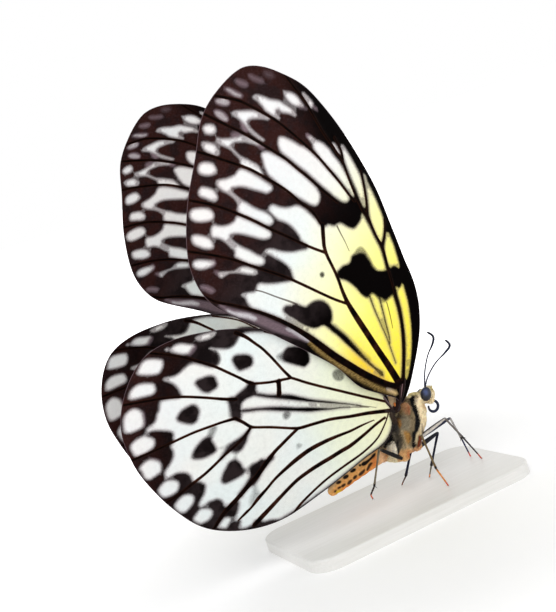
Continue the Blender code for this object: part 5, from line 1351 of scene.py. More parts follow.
def wing_material(name, gold_reach, brown_start, gold):
    """Scaled wing: pale ground, dark marks and veins from the mesh's distances.

    The green or, with gold, the yellow of the ground reaches about gold_reach mm from the hinge,
    and the brown of the marks begins at brown_start mm.
    """
    n = Nodes(name)
    plan = n.attribute("plan", "Vector")
    grain = n.minus(n.noise(plan, 4.0, 4.0, 0.75), 0.5)
    dust = n.separate(n.cells(plan, 13.0, "Color"))
    ragged = n.plus(n.times(grain, 0.75), n.times(n.minus(dust[2], 0.5), 0.2))
    axes = n.separate(plan)
    aft = n.minus(axes[0], HINGE_AFT)
    up = n.minus(axes[1], HINGE_UP)
    reach = n.distance(aft, up)
    # Behind the line from hinge to tip lie the outer cells, where the yellow ends sooner.
    outer = n.minus(aft, n.times(up, OUTER_SLOPE))
    broad = n.times(n.minus(n.noise(plan, 0.12, 2.0), 0.5), 5.0)
    glow = n.plus(n.plus(reach, broad), n.times(outer, OUTER_PULL))
    ground = n.mix(n.ramp(n.noise(plan, 0.07, 2.0), 0.35, 0.65), WHITE, BLUE_WHITE)
    ground = n.mix(n.ramp(glow, gold_reach * 0.8, gold_reach * 1.6, 1.0, 0.0), ground, GREENISH)
    if gold:
        for tone, near, far in ((CREAM, 0.8, 1.6), (PALE_YELLOW, 0.6, 1.15), (YELLOW, 0.25, 0.85)):
            ground = n.mix(n.ramp(glow, gold_reach * near, gold_reach * far, 1.0, 0.0), ground, tone)
        rich = n.times(n.ramp(n.math("DIVIDE", outer, reach), *AMBER_ANGLES),
                       n.ramp(glow, *AMBER_ENDS, 0.9, 0.0))
        ground = n.mix(rich, ground, AMBER)
    else:
        ground = n.mix(n.ramp(glow, gold_reach * 0.2, gold_reach * 0.9, 1.0, 0.0), ground, STRAW)
    ground = n.mix(n.ramp(n.noise(plan, 1.1, 4.0), 0.35, 0.8, 0.0, 0.16), ground, ASH)
    frost = n.times(n.ramp(reach, *FROST_ENDS), n.ramp(dust[2], 0.2, 1.0, 0.2, 0.9))
    ground = n.mix(frost, ground, FROST)
    dark = n.attribute("dark")
    fringe = n.ramp(n.plus(dark, n.times(ragged, 0.6)), -0.75, 0.05, 0.0, 0.46)
    ground = n.mix(fringe, ground, MAUVE)
    powder = n.ramp(dust[0], 0.0, 1.0, 0.93, 1.03, False)
    brown = n.times(n.ramp(reach, brown_start, brown_start + BROWN_FADE), n.ramp(outer, -10.0, -2.0))
    dark_tone = n.mix(brown, BLACK, UMBER)
    smoky = n.times(n.ramp(reach, *SMOKY_START, 0.0, 0.8), n.ramp(reach, *SMOKY_END, 1.0, 0.0))
    dark_tone = n.mix(n.times(smoky, n.ramp(outer, 1.0, 5.0)), dark_tone, SMOKE)
    sooty = n.ramp(n.noise(plan, 0.3, 4.0), 0.42, 0.62, 0.0, 0.7)
    dark_tone = n.mix(sooty, dark_tone, n.mix(brown, BLACK, CHARCOAL))
    flecks = n.times(n.ramp(dust[1], 0.80, 1.0, 0.0, 0.1), brown)
    dark_tone = n.mix(flecks, dark_tone, MAUVE)
    blur = n.ramp(reach, *BLUR_ENDS, 0.85, 0.5)
    dark_share = n.ramp(n.times(n.plus(dark, n.times(ragged, 0.55)), blur), -0.24, 0.18)
    powdered = n.ramp(n.plus(dust[1], grain), 0.1, 0.9, 0.7, 1.2, False)
    smoke_share = n.times(n.times(n.attribute("smoke"), 1.25), powdered, True)
    ground = n.mix(smoke_share, ground, CHARCOAL)
    hair = n.ramp(n.attribute("hairline"), -0.08, 0.02, 0.0, 0.8)
    ground = n.mix(hair, ground, VEIN_BROWN)
    colour = n.mix(dark_share, ground, dark_tone)
    faint = n.times(n.times(n.attribute("faint"), dark_share), powdered)
    colour = n.mix(n.times(faint, 0.8), colour, PALE_MAUVE)
    strip = n.times(n.attribute("strip"), dark_share)
    streaks = n.noise(n.stretch(plan, (0.7, 3.0, 1.0), (0.0, 0.0, 0.72)), 2.0, 3.0)
    colour = n.mix(strip, colour, n.mix(streaks, STRIP_GREY, MAUVE))
    colour = n.mix(n.times(n.attribute("strip_light"), powdered, True), colour,
                   n.mix(n.ramp(reach, 4.0, 8.0), STRIP_CREAM, STRIP_PALE))
    tan_share = n.times(n.attribute("tan"), n.ramp(streaks, 0.35, 0.65, 0.3, 1.7, False))
    colour = n.mix(tan_share, colour, TAN)
    vein_edge = n.plus(n.attribute("vein"), n.times(ragged, 0.14))
    vein_tone = n.mix(n.ramp(n.noise(plan, 0.45, 3.0), 0.35, 0.75), BLACK, VEIN_BROWN)
    vein_tone = n.mix(n.ramp(n.plus(vein_edge, n.times(grain, 0.1)), 0.0, 0.13), VEIN_EDGE, vein_tone)
    vein_tone = n.mix(n.times(dark_share, 0.8), vein_tone, BLACK)
    colour = n.mix(n.ramp(vein_edge, -0.09, 0.05), colour, vein_tone)
    colour = n.mix(n.ramp(n.attribute("rim"), 0.02, 0.12, 0.35, 0.0), colour, MAUVE)
    colour = n.mix(1.0, colour, powder, "MULTIPLY")
    rows = n.noise(n.stretch(plan, (4.0, 9.0, 4.0), (0.0, 0.0, 0.6)), 1.5, 2.0)
    ripple = n.noise(n.stretch(plan, (0.5, 1.6, 1.0), (0.0, 0.0, 0.7)), 1.0, 2.0)
    height = n.plus(n.times(rows, 0.15), n.times(ripple, 0.9))
    n.bump(height, 0.12, 0.6)
    n.set(Base_Color=colour, Roughness=n.ramp(dark_share, 0.0, 1.0, 0.66, 0.5))
    n.set(Specular_IOR_Level=0.01)
    return n.material


def make_wings():
    """The four wings."""
    forewing_tables = {"veins": FOREWING_VEINS, "lines": FOREWING_LINES,
                       "hairlines": FOREWING_HAIRLINES, "light": FOREWING_LIGHT,
                       "dark": FOREWING_DARK, "smoke": FOREWING_SMOKE, "faint": FOREWING_FAINT,
                       "strip": FOREWING_STRIP, "strip_light": FOREWING_STRIP_LIGHT,
                       "tan": FOREWING_TAN}
    hindwing_tables = {"veins": HINDWING_VEINS, "lines": HINDWING_LINES,
                       "hairlines": HINDWING_HAIRLINES, "light": HINDWING_LIGHT,
                       "dark": HINDWING_DARK, "smoke": HINDWING_SMOKE, "faint": HINDWING_FAINT}
    wing_pair("forewing", FOREWING_OUTLINE, forewing_tables, FOREWING_LIFT, FOREWING_SET,
              wing_material("forewing_scales", FOREWING_GOLD, FOREWING_BROWN, True))
    wing_pair("hindwing", HINDWING_OUTLINE, hindwing_tables, HINDWING_LIFT, HINDWING_SET,
              wing_material("hindwing_scales", HINDWING_GREEN, HINDWING_BROWN, False))


# ---- shapes built from rings ----
class Shape:
    """Points, faces and a colour for each point, gathered before a mesh is made."""

    def __init__(self):
        self.points = []
        self.faces = []
        self.tints = []

    def rings(self, rings, tints):
        """A closed tube through rings of points, with a tint for each point of each ring."""
        start = len(self.points)
        sides = len(rings[0])
        for ring, colours in zip(rings, tints):
            self.points += [tuple(point) for point in ring]
            self.tints += [tuple(colour) for colour in colours]
        for row in range(len(rings) - 1):
            for side in range(sides):
                a = start + row * sides + side
                b = start + row * sides + (side + 1) % sides
                self.faces.append((a, b, b + sides, a + sides))
        for row, turned in ((0, True), (len(rings) - 1, False)):
            centre = len(self.points)
            self.points.append(tuple(np.mean(rings[row], axis=0)))
            self.tints.append(tuple(np.mean(tints[row], axis=0)))
            for side in range(sides):
                a = start + row * sides + side
                b = start + row * sides + (side + 1) % sides
                self.faces.append((b, a, centre) if turned else (a, b, centre))

    def tube(self, path, radii, tint, sides=10):
        """A tube along a path; its tint is one colour, or a list with one for each ring."""
        rings = tube_rings(path, radii, sides)
        tints = tint if isinstance(tint, list) else [tint] * len(rings)
        self.rings(rings, [[one] * sides for one in tints])

    def ball(self, centre, radii, lean=0.0, tint=(1, 1, 1), rows=14, sides=20):
        """An ellipsoid whose upright axis leans forward."""
        rings = []
        for row in range(rows + 1):
            polar = math.pi * min(max(row / rows, 0.02), 0.98)
            ring = []
            for side in range(sides):
                turn = 2 * math.pi * side / sides
                x = radii[0] * math.sin(polar) * math.cos(turn)
                y = radii[1] * math.sin(polar) * math.sin(turn)
                z = radii[2] * math.cos(polar)
                ring.append((centre[0] + x * math.cos(lean) + z * math.sin(lean), centre[1] + y,
                             centre[2] + z * math.cos(lean) - x * math.sin(lean)))
            rings.append(ring)
        self.rings(rings, [[tint] * sides] * len(rings))

    def finish(self, name, material, replaced=(), mirror=False):
        """The gathered shape as an object, on the other side where it is mirrored."""
        mesh = bpy.data.meshes.new(name)
        points = np.array(self.points) * ((1, -1, 1) if mirror else (1, 1, 1))
        faces = [face[::-1] for face in self.faces] if mirror else self.faces
        mesh.from_pydata(((points + np.array(INSECT)) * MM).tolist(), [], faces)
        finish_mesh(mesh, name, material, self.tints, replaced)


def finish_mesh(mesh, name, material, tints, replaced=()):
    """The mesh as an object that rides on the model, with a tint for each point."""
    layer = mesh.color_attributes.new("tint", "FLOAT_COLOR", "POINT")
    opaque = np.column_stack([tints, np.ones(len(tints))])
    layer.data.foreach_set("color", opaque.astype(np.float32).ravel())
    place_mesh(mesh, name, material, replaced)


def tube_rings(path, radii, sides):
    """Rings of points round a path, without twist."""
    path = np.array([tuple(point) for point in path], float)
    along = np.gradient(path, axis=0)
    along /= np.maximum(1e-9, np.linalg.norm(along, axis=1))[:, None]
    across = np.cross(along[0], (0.0, 0.0, 1.0) if abs(along[0][2]) < 0.9 else (1.0, 0.0, 0.0))
    rings = []
    for place, ahead, radius in zip(path, along, radii):
        across = across - ahead * (across @ ahead)
        across /= np.linalg.norm(across)
        other = np.cross(ahead, across)
        rings.append([place + radius * (across * math.cos(turn) + other * math.sin(turn))
                      for turn in np.arange(sides) * 2 * math.pi / sides])
    return rings


def smooth_rows(rows, steps=6):
    """Rows of numbers along a smooth curve through the given rows."""
    rows = np.array(rows, float)
    padded = np.vstack([rows[:1], rows, rows[-1:]])
    smooth = []
    for first, second, third, fourth in zip(padded, padded[1:], padded[2:], padded[3:]):
        for share in np.linspace(0, 1, steps, endpoint=False):
            smooth.append(0.5 * (2 * second + (third - first) * share
                                 + (2 * first - 5 * second + 4 * third - fourth) * share ** 2
                                 + (3 * second - first - 3 * third + fourth) * share ** 3))
    return np.vstack([smooth, rows[-1:]])


def loft(shape, stations, shrink, sides=36):
    """A body through the solid's stations, drawn in by the coat's depth."""
    rings = []
    for top_x, top_z, low_x, low_z, width in smooth_rows(stations):
        middle = np.array([(top_x + low_x) / 2, 0.0, (top_z + low_z) / 2])
        upward = np.array([(top_x - low_x) / 2, 0.0, (top_z - low_z) / 2])
        upward *= max(0.1, 1 - shrink / np.linalg.norm(upward))
        side = np.array([0.0, max(0.05, width - shrink), 0.0])
        rings.append([middle + upward * math.cos(turn) + side * math.sin(turn)
                      for turn in np.arange(sides) * 2 * math.pi / sides])
    shape.rings(rings, [[(1, 1, 1)] * sides] * len(rings))


# ---- body colours ----
def photo_pixels(points):
    """Where the camera sees points of the body's right side, in pixels."""
    right, up, aim = (np.array(axis) for axis in camera_axes())
    near = np.column_stack([points[:, 0], -np.abs(points[:, 1]), points[:, 2]])
    rays = near - np.array(CAMERA_PLACE - INSECT)
    depth = rays @ aim
    return np.column_stack([FRAME_WIDTH / 2 + FOCAL_PIXELS * (rays @ right) / depth,
                            FRAME_HEIGHT / 2 - FOCAL_PIXELS * (rays @ up) / depth])


def patch_share(pixels, outline, softness, grow=0.0):
    """0 to 1: how far inside a painted patch each pixel lies."""
    loop = even_points(smooth_path(outline, True, 3), 1.0, True)
    return smoothstep(np.clip((signed_distance(pixels, loop) + grow) / softness * 0.5 + 0.5, 0, 1))


def blend(colours, share, colour):
    """Rows of colours taken towards one screen colour."""
    return colours + (np.array(paint(*colour)) - colours) * share[:, None]


def body_tint(points, normals):
    """The colour of the skin, and of the tufts that root in it."""
    pixels = photo_pixels(points)
    tint = np.tile(paint(*BODY_CREAM), (len(points), 1))
    for colour, strength, softness, outline in BODY_PAINT:
        tint = blend(tint, strength * patch_share(pixels, outline, softness), colour)
    for outlines, colour, strength, softness, grow in BODY_MARKS:
        for outline in outlines:
            tint = blend(tint, strength * patch_share(pixels, outline, softness, grow), colour)
    forward, lateral = points[:, 0], np.abs(points[:, 1])
    facing_up = np.clip((normals[:, 2] - 0.45) / 0.25, 0, 1)
    thorax = facing_up * np.clip((BACK_FRONT - forward) / 0.8, 0, 1)
    thorax *= np.clip((forward - ABDOMEN_FRONT) / 0.5, 0, 1)
    thorax *= np.clip((BACK_HALF_WIDTH - lateral) / 0.5, 0, 1)
    line = np.exp(-((lateral - BACK_LINE_OFFSET) / BACK_LINE_WIDTH) ** 2)
    tint = blend(tint, thorax, BACK_DARK)
    tint = blend(tint, thorax * line * 0.85, BACK_LINE)
    hind = np.clip((ABDOMEN_FRONT - forward) / 0.6, 0, 1) * np.exp(-(lateral / 0.75) ** 2)
    return blend(tint, hind * np.clip((normals[:, 2] - 0.3) / 0.4, 0, 1) * 0.8, ABDOMEN_BACK)


# ---- skin ----
def skin_volume():
    """Everything that the skin wraps, as shapes that run into each other."""
    shape = Shape()
    for stations, depth in zip((THORAX, ABDOMEN, HEAD), SKIN_DEPTHS):
        loft(shape, stations, depth)
    for side in (1, -1):
        palp = smooth_rows([(*point, radius) for point, radius in zip(PALP_PATH, PALP_RADII)], 4)
        shape.tube(palp[:, :3] * (1, side, 1), palp[:, 3], (1, 1, 1), 14)
        for (x, y, z), radii, lean in LOBES.values():
            shape.ball((x, side * y, z), radii, math.radians(lean))
    return shape


def relax(points, edges, rounds):
    """Smooth a mesh's points along its edges without shrinking it."""
    count = np.bincount(edges.ravel(), minlength=len(points))[:, None]
    for step in range(rounds * 2):
        total = np.zeros_like(points)
        np.add.at(total, edges[:, 0], points[edges[:, 1]])
        np.add.at(total, edges[:, 1], points[edges[:, 0]])
        points = points + SKIN_SMOOTHING[step % 2] * (total / np.maximum(1, count) - points)
    return points


def make_skin():
    """One closed skin over thorax, abdomen, head and palps; its mesh, points and normals in mm."""
    shape = skin_volume()
    mould = bpy.data.meshes.new("mould")
    mould.from_pydata(shape.points, [], shape.faces)
    lump = bpy.data.objects.new("mould", mould)
    bpy.context.scene.collection.objects.link(lump)
    remesh = lump.modifiers.new("remesh", "REMESH")
    remesh.mode = "VOXEL"
    remesh.voxel_size = SKIN_VOXEL
    mesh = bpy.data.meshes.new_from_object(lump.evaluated_get(bpy.context.evaluated_depsgraph_get()))
    bpy.data.objects.remove(lump)
    points = np.zeros(len(mesh.vertices) * 3)
    mesh.vertices.foreach_get("co", points)
    points = points.reshape(-1, 3)
    edges = np.zeros(len(mesh.edges) * 2, int)
    mesh.edges.foreach_get("vertices", edges)
    points = relax(points, edges.reshape(-1, 2), SKIN_ROUNDS)
    mesh.vertices.foreach_set("co", points.ravel())
    mesh.update()
    normals = mesh_normals(mesh)
    along = (ABDOMEN_ROOT - points[:, 0]) / ABDOMEN_LENGTH * ABDOMEN_RINGS
    on_abdomen = np.clip((ABDOMEN_FRONT - points[:, 0]) / 0.5, 0, 1)
    swell = np.sin(np.pi * (along % 1.0)) ** 0.6
    push = on_abdomen * RING_DEPTH * (swell - 0.75)
    pixels = photo_pixels(points)
    for outline in BODY_BAND:
        push -= BAND_DEPTH * patch_share(pixels, outline, 2.0)
    lumps = np.array([noise.noise(Vector(point) * 1.1) * 0.7 + noise.noise(Vector(point) * 3.0) * 0.3
                      for point in points])
    push += lumps * np.where(points[:, 0] < ABDOMEN_FRONT, 0.03, 0.07)
    points = points + normals * push[:, None]
    mesh.vertices.foreach_set("co", points.ravel())
    mesh.update()
    return mesh, points, mesh_normals(mesh)


def mesh_normals(mesh):
    """The normals of a mesh's points."""
    normals = np.zeros(len(mesh.vertices) * 3)
    mesh.vertex_normals.foreach_get("vector", normals)
    return normals.reshape(-1, 3)


# ---- hairs and tufts ----
def hair_mesh(name, material, roots, aims, bends, lengths, radii, tints, uvs):
    """Tapering three-sided tufts: three rings and a tip each, with a closed root."""
    count = len(roots)
    helper = np.where(np.abs(aims[:, 2:3]) < 0.9, (0.0, 0.0, 1.0), (1.0, 0.0, 0.0))
    across = np.cross(aims, helper)
    across /= np.linalg.norm(across, axis=1)[:, None]
    other = np.cross(aims, across)
    rows = []
    for share, width in TUFT_RINGS:
        middle = roots + aims * (lengths * share)[:, None] + bends * (lengths * share ** 2)[:, None]
        for turn in TUFT_TURNS:
            rows.append(middle + (across * math.cos(turn) + other * math.sin(turn))
                        * (radii * width)[:, None])
    rows.append(roots + aims * lengths[:, None] + bends * lengths[:, None])
    points = np.stack(rows, axis=1).reshape(-1, 3)
    start = (np.arange(count) * len(TUFT_PAINTED_SHADE))[:, None, None]
    faces = (start + np.array(TUFT_SIDES)[None]).reshape(-1, 4).tolist()
    faces += (start + np.array(TUFT_ENDS)[None]).reshape(-1, 3).tolist()
    mesh = bpy.data.meshes.new(name)
    mesh.from_pydata(((points + np.array(INSECT)) * MM).tolist(), [], faces)
    # Painted shade: each tuft's colour darkened towards its root and lightened towards its tip.
    colours = np.clip(tints[:, None, :] * np.array(TUFT_PAINTED_SHADE)[None, :, None], 0, 1).reshape(-1, 3)
    if uvs is not None:
        layer = mesh.uv_layers.new(name="OFBake")
        turns = np.arange(len(TUFT_PAINTED_SHADE)) * 0.7
        corner = np.array([(math.cos(turn), math.sin(turn)) for turn in turns]) * UV_DOT
        spots = (uvs[:, None, :] + corner[None]).reshape(-1, 2)
        owners = np.zeros(len(mesh.loops), int)
        mesh.loops.foreach_get("vertex_index", owners)
        layer.data.foreach_set("uv", spots[owners].astype(np.float32).ravel())
    finish_mesh(mesh, name, material, colours)


def scatter(mesh, points, count, dice):
    """Random places on a mesh of quads and triangles, as weights on its corners."""
    mesh.calc_loop_triangles()
    corners = np.zeros(len(mesh.loop_triangles) * 3, int)
    mesh.loop_triangles.foreach_get("vertices", corners)
    corners = corners.reshape(-1, 3)
    a, b, c = (points[corners[:, k]] for k in range(3))
    area = np.linalg.norm(np.cross(b - a, c - a), axis=1)
    chosen = dice.choice(len(corners), count, p=area / area.sum())
    weights = dice.dirichlet((1.0, 1.0, 1.0), count)
    return corners[chosen], weights


def unit(vectors):
    """Rows of vectors brought to length 1."""
    return vectors / np.maximum(1e-9, np.linalg.norm(vectors, axis=1))[:, None]


def coat_rules(points, normals):
    """Region, flow, lift and length of the coat at each root: 0 thorax, 1 head, 2 abdomen."""
    x, _, z = points.T
    on_head = (x > HEAD_COAT[0]) & (z > HEAD_COAT[1])
    region = np.where(on_head, 1, np.where(x < ABDOMEN_COAT, 2, 0))
    thorax, head, abdomen = (region == number for number in range(3))
    collar = x > COLLAR_COAT
    flow = np.tile((-0.75, 0.0, -0.55), (len(points), 1))
    for where, direction in ((collar & (z < -3.6), (0.05, 0.0, -1.0)),
                             (thorax & (normals[:, 2] > 0.5), (-1.0, 0.0, 0.2)),
                             (thorax & collar & (z >= -4.4), (0.2, 0.0, 0.9)),
                             (head, (0.35, 0.0, -0.8)),
                             (head & (z > -4.0), (0.35, 0.0, 0.9)),
                             (head & (x > 6.3), (0.6, 0.0, 0.5)),
                             (abdomen, (-1.0, 0.0, -0.22))):
        flow[where] = direction
    lift = np.choose(region, COAT_LIFTS)
    lift[thorax & (x > 1.5)] = 0.5
    length = np.choose(region, COAT_LENGTHS)
    for where, value in ((thorax & collar, 0.42), (thorax & (x < -5.8), 0.8), (head & (z > -3.9), 0.5)):
        length[where] = value
    length[normals[:, 2] < -0.4] *= 0.8
    return region, flow, lift, length


def make_coat(mesh, points, normals, material):
    """Short tufts over the skin, in four pieces."""
    dice = np.random.default_rng(COAT_SEED)
    corners, weights = scatter(mesh, points, COAT_ROOTS, dice)
    roots = (points[corners] * weights[:, :, None]).sum(axis=1)
    outs = unit((normals[corners] * weights[:, :, None]).sum(axis=1))
    region, flow, lift, length = coat_rules(roots, outs)
    clear = np.ones(len(roots), bool)
    for side in (1, -1):
        gap = (roots - np.array(EYE_CENTRE) * (1, side, 1)) / (np.array(EYE_RADII) * EYE_CLEARANCE)
        clear &= (gap ** 2).sum(axis=1) > 1
    keep = clear & (dice.random(len(roots)) < np.choose(region, COAT_SHARES))
    roots, outs, region, flow, lift, length = (array[keep] for array in
                                               (roots, outs, region, flow, lift, length))
    flow = flow + dice.normal(0, 0.22, roots.shape)
    flow = unit(flow - outs * (flow * outs).sum(axis=1)[:, None])
    lift = lift * dice.uniform(0.6, 1.4, len(roots))
    aims = unit(flow + outs * lift[:, None])
    bends = (flow - outs * 0.25) * 0.22
    lengths = length * dice.uniform(0.6, 1.35, len(roots))
    radii = dice.uniform(*TUFT_RADII, len(roots)) * np.choose(region, COAT_GIRTHS)
    contrast = np.where((roots[:, 0] < STREAKS_FRONT) & (region == 0), STREAKED, PLAIN)
    tints = body_tint(roots, outs) * (1 + contrast * dice.uniform(-1, 1.1, len(roots)))[:, None]
    turn = np.arctan2(roots[:, 1], roots[:, 2] - COAT_MAP_AXIS) / (2 * math.pi) + 0.5
    ahead = (roots[:, 0] - COAT_MAP_BACK) / COAT_MAP_LENGTH
    uvs = np.clip(np.column_stack([turn, ahead]), 0.01, 0.99)
    part = np.where((region == 0) & (roots[:, 0] > COLLAR_START), len(COAT_PIECES) - 1, region)
    for number, (name, slot) in enumerate(COAT_PIECES):
        mine = part == number
        hair_mesh(name, material, roots[mine] - outs[mine] * COAT_ROOT_DEPTH, aims[mine],
                  bends[mine], lengths[mine], radii[mine], tints[mine], uvs[mine])


# ---- eyes, tongue, feelers and legs ----
def make_eyes():
    """Two faceted eyes, with painted light: darker towards the bottom, a pale painted highlight high up,
    and brown below.
    """
    material = eye_material()
    for label, (centre, size) in EYES.items():
        eye = Shape()
        eye.ball(centre, np.array(EYE_RADII) * size, EYE_LEAN, (1, 1, 1), 40, 64)
        points = (np.array(eye.points) - centre) / np.array(EYE_RADII) / size
        # Painted shade and light: the eye darker towards its bottom and lighter towards its top, with a
        # painted highlight.
        height = np.clip(points[:, 2] * 0.5 + 0.5, 0, 1)[:, None]
        offsets = (points[:, (0, 2)] - EYE_HIGHLIGHT_PLACE) / EYE_HIGHLIGHT_SIZE
        painted_highlight = np.exp(-(offsets ** 2).sum(axis=1))[:, None]
        tints = np.array(EYE_DARK) * (0.4 + height)
        tints = tints + (np.array(EYE_PAINTED_HIGHLIGHT) - tints) * painted_highlight * 0.75
        brown = np.clip((EYE_BROWN_TOP - points[:, 2]) / 0.2, 0, 1)[:, None]
        eye.tints = (tints + (np.array(EYE_BROWN) - tints) * brown).tolist()
        eye.finish("eye_" + label + "_facets", material, ("eye_" + label,))


def coil_path():
    """The tongue's middle line, from the mouth round the coil."""
    path = list(TONGUE_ROOT)
    for turn in COIL_START + COIL_SWEEP * np.arange(COIL_STEPS + 1) / COIL_STEPS:
        path.append((COIL_CENTRE[0] + COIL_RADIUS * math.cos(turn), 0.0,
                     COIL_CENTRE[1] + COIL_RADIUS * math.sin(turn)))
    return even_points(path, TONGUE_STEP)


def make_proboscis():
    """The coiled tongue, finely ringed and thinner at its end."""
    shape = Shape()
    path = coil_path()
    run = np.arange(len(path)) * TONGUE_STEP
    radii = TONGUE_RADIUS * (1 - 0.3 * np.clip((run - TONGUE_TAPER[0]) / TONGUE_TAPER[1], 0, 1))
    radii *= 1 + 0.05 * np.cos(run * 2 * math.pi / TONGUE_RING)
    shape.tube(path, radii, TONGUE_BLUE, 14)
    shape.finish("proboscis_coil", cuticle_material("tongue_cuticle", 0.3, 6.0),
                 ("proboscis",))


def make_antennae():
    """Two jointed feelers with clubs."""
    material = cuticle_material("feeler_cuticle", 0.42, 5.0)
    for label, route in ANTENNAE.items():
        shape = Shape()
        path = even_points(smooth_path(route, steps=8), FEELER_STEP)
        share = np.linspace(0, 1, len(path))
        club = np.sin(np.clip((share - CLUB_START) / (1 - CLUB_START), 0, 1) * math.pi * 0.8)
        radii = FEELER_RADIUS + FEELER_CLUB * club
        radii *= 1 + 0.09 * np.cos(np.arange(len(path)) * FEELER_STEP * 2 * math.pi / FEELER_JOINT)
        radii[:4] *= (1.5, 1.6, 1.5, 1.25)
        radii[-4:] *= (0.92, 0.78, 0.55, 0.25)
        tints = share[:, None] * FEELER_TIP + (1 - share)[:, None] * FEELER_BASE
        shape.tube(path, radii, tints.tolist(), 12)
        shape.finish("antenna_" + label + "_jointed", material, ("antenna_" + label,))


def leg_stations(joints, girths):
    """Rings along a leg: places, then radius, bone (0 thigh to 3 tip) and share along the bone."""
    hip, knee, ankle, toe = (np.array(joint, float) for joint in joints[:4])
    foot = (toe - ankle) / (FOOT_SHARE if len(joints) > 4 else 1.0)
    tip = np.array(joints[4]) if len(joints) > 4 else toe - np.array((0, 0, TOE_PRESS))
    ends = [hip, knee, ankle, ankle + foot * FOOT_SHARE, tip]
    places = []
    stations = []
    for number, (start, end, profile) in enumerate(zip(ends, ends[1:], LEG_PROFILES)):
        steps = max(6, round(np.linalg.norm(end - start) / LEG_STEP))
        for step in range(steps + (number == 3)):
            share = step / steps
            radius = np.interp(share, *zip(*profile)) * girths[number]
            places.append(start + (end - start) * share)
            stations.append((radius, number, share))
    places = np.array(places)
    for _ in range(3):
        places[1:-1] = places[1:-1] * 0.5 + (places[:-2] + places[2:]) * 0.25
    return places, stations


def leg_tints(rings, places, stations, colours):
    """A colour for each point of a leg's rings, from above, the side and below."""
    tints = []
    for ring, place, (radius, bone, share) in zip(rings, places, stations):
        following = colours[min(3, bone + 1)]
        fade = max(0.0, (share - 0.88) / 0.24)
        top, side, low = (np.array(paint(*own)) * (1 - fade) + np.array(paint(*after)) * fade
                          for own, after in zip(colours[bone], following))
        if bone == 1 and share > 0.93 or bone == 2 and share < 0.05:
            top = side = low = np.array(LEG_JOINT)
        height = ((np.array(ring)[:, 2] - place[2]) / radius)[:, None]
        tints.append(side + (top - side) * np.clip(height * 3 - 1.2, 0, 1)
                     + (low - side) * np.clip(-height * 3 - 1.2, 0, 1))
    return tints


def add_spurs_and_claws(shape, joints):
    """Two spurs at the ankle and two claws at the toe."""
    ankle, before, toe = (np.array(joints[number], float) for number in (2, -2, -1))
    foot = unit((toe - before)[None])[0]
    across = unit(np.cross(foot, (0.0, 0.3, 1.0))[None])[0]
    for sign in (1, -1):
        spur = [ankle + foot * along + across * aside * sign for along, aside in SPUR]
        shape.tube(smooth_path(spur, steps=3), np.linspace(0.07, 0.015, 7), CLAW_BROWN, 6)
        claw = [toe + foot * along + across * aside * sign for along, aside in CLAW]
        claw[-1][2] -= CLAW_DROP
        if toe[2] < STANDING_TOE:
            for point in claw:
                point[2] = max(point[2], CLAW_FLOOR)
        shape.tube(smooth_path(claw, steps=3), np.linspace(0.06, 0.012, 7), CLAW_BROWN, 6)


def add_bristles(name, hair, places, radii, tints, dice):
    """Short bristles that lean along a leg."""
    picks = dice.integers(2, len(places) - 3, BRISTLES)
    along = unit(np.gradient(places, axis=0))[picks]
    outs = unit(np.cross(along, dice.normal(0, 1, (BRISTLES, 3))))
    dark = np.array([np.mean(tints[pick], axis=0) for pick in picks]) * 0.5
    aims = unit(outs * 0.5 + along)
    roots = places[picks] + outs * (radii[picks] * 0.9)[:, None]
    hair_mesh(name, hair, roots, aims, aims * 0.0, dice.uniform(0.12, 0.28, BRISTLES),
              np.full(BRISTLES, BRISTLE_RADIUS), dark, None)


def make_legs(hair):
    """Six jointed legs with spurs, claws and bristles."""
    material = cuticle_material("leg_cuticle", 0.5, 4.0)
    dice = np.random.default_rng(LEG_SEED)
    for name, (joints, colours) in LEGS.items():
        shape = Shape()
        places, stations = leg_stations(joints, LEG_GIRTHS[name])
        radii = np.array([station[0] for station in stations])
        rings = tube_rings(places, radii, 12)
        tints = leg_tints(rings, places, stations, colours)
        shape.rings(rings, tints)
        add_spurs_and_claws(shape, joints)
        shape.finish(name + "_jointed", material, (name,))
        add_bristles(name + "_bristles", hair, places, radii, tints, dice)


def seen_at(place):
    """The point of the right side that the camera sees at a pixel, this far from the middle plane."""
    column, row, lateral = place
    right, up, aim = camera_axes()
    ray = aim * FOCAL_PIXELS + right * (column - FRAME_WIDTH / 2) - up * (row - FRAME_HEIGHT / 2)
    eye = CAMERA_PLACE - INSECT
    return eye + ray * ((-lateral - eye.y) / ray.y)


def make_wing_bases():
    """The wings' thick bases, down to the thorax, on both sides."""
    material = fur_material("wing_base_scales", 1.6, 0.1)
    for mirror, label in ((False, "right"), (True, "left")):
        for wing, stems, lumps in (("forewing", FOREWING_STEMS, []),
                                   ("hindwing", HINDWING_STEMS, ROOT_LUMPS)):
            shape = Shape()
            for radius, colour, path in stems:
                rows = smooth_rows([tuple(seen_at(place)) for place in path], 6)
                shape.tube(rows, np.linspace(0.85, 1.05, len(rows)) * radius, paint(*colour), 12)
            for place, radii, colour in lumps:
                shape.ball(seen_at(place), radii, 0.2, paint(*colour), 12, 16)
            shape.finish(wing + "_base_" + label, material, (), mirror)


def make_plate():
    """The plain display plate, the same size as the solid one."""
    bm = bmesh.new()
    bmesh.ops.create_cube(bm, size=1.0)
    bmesh.ops.scale(bm, vec=PLATE * MM, verts=bm.verts)
    bmesh.ops.translate(bm, vec=Vector((0, 0, PLATE.z * MM / 2)), verts=bm.verts)
    upright = [edge for edge in bm.edges if abs(edge.verts[0].co.z - edge.verts[1].co.z) > MM]
    round_edges(bm, upright, PLATE_CORNER, 16)
    top = [edge for edge in bm.edges if all(vert.co.z > PLATE.z * MM * 0.96 for vert in edge.verts)]
    round_edges(bm, top, PLATE_RIM, 4)
    mesh = bpy.data.meshes.new("stand_plate")
    bm.to_mesh(mesh)
    bm.free()
    material = plate_material()
    finish_mesh(mesh, "stand_plate", material, np.ones((len(mesh.vertices), 3)),
                ("stand_base",))
    mesh.shade_flat()


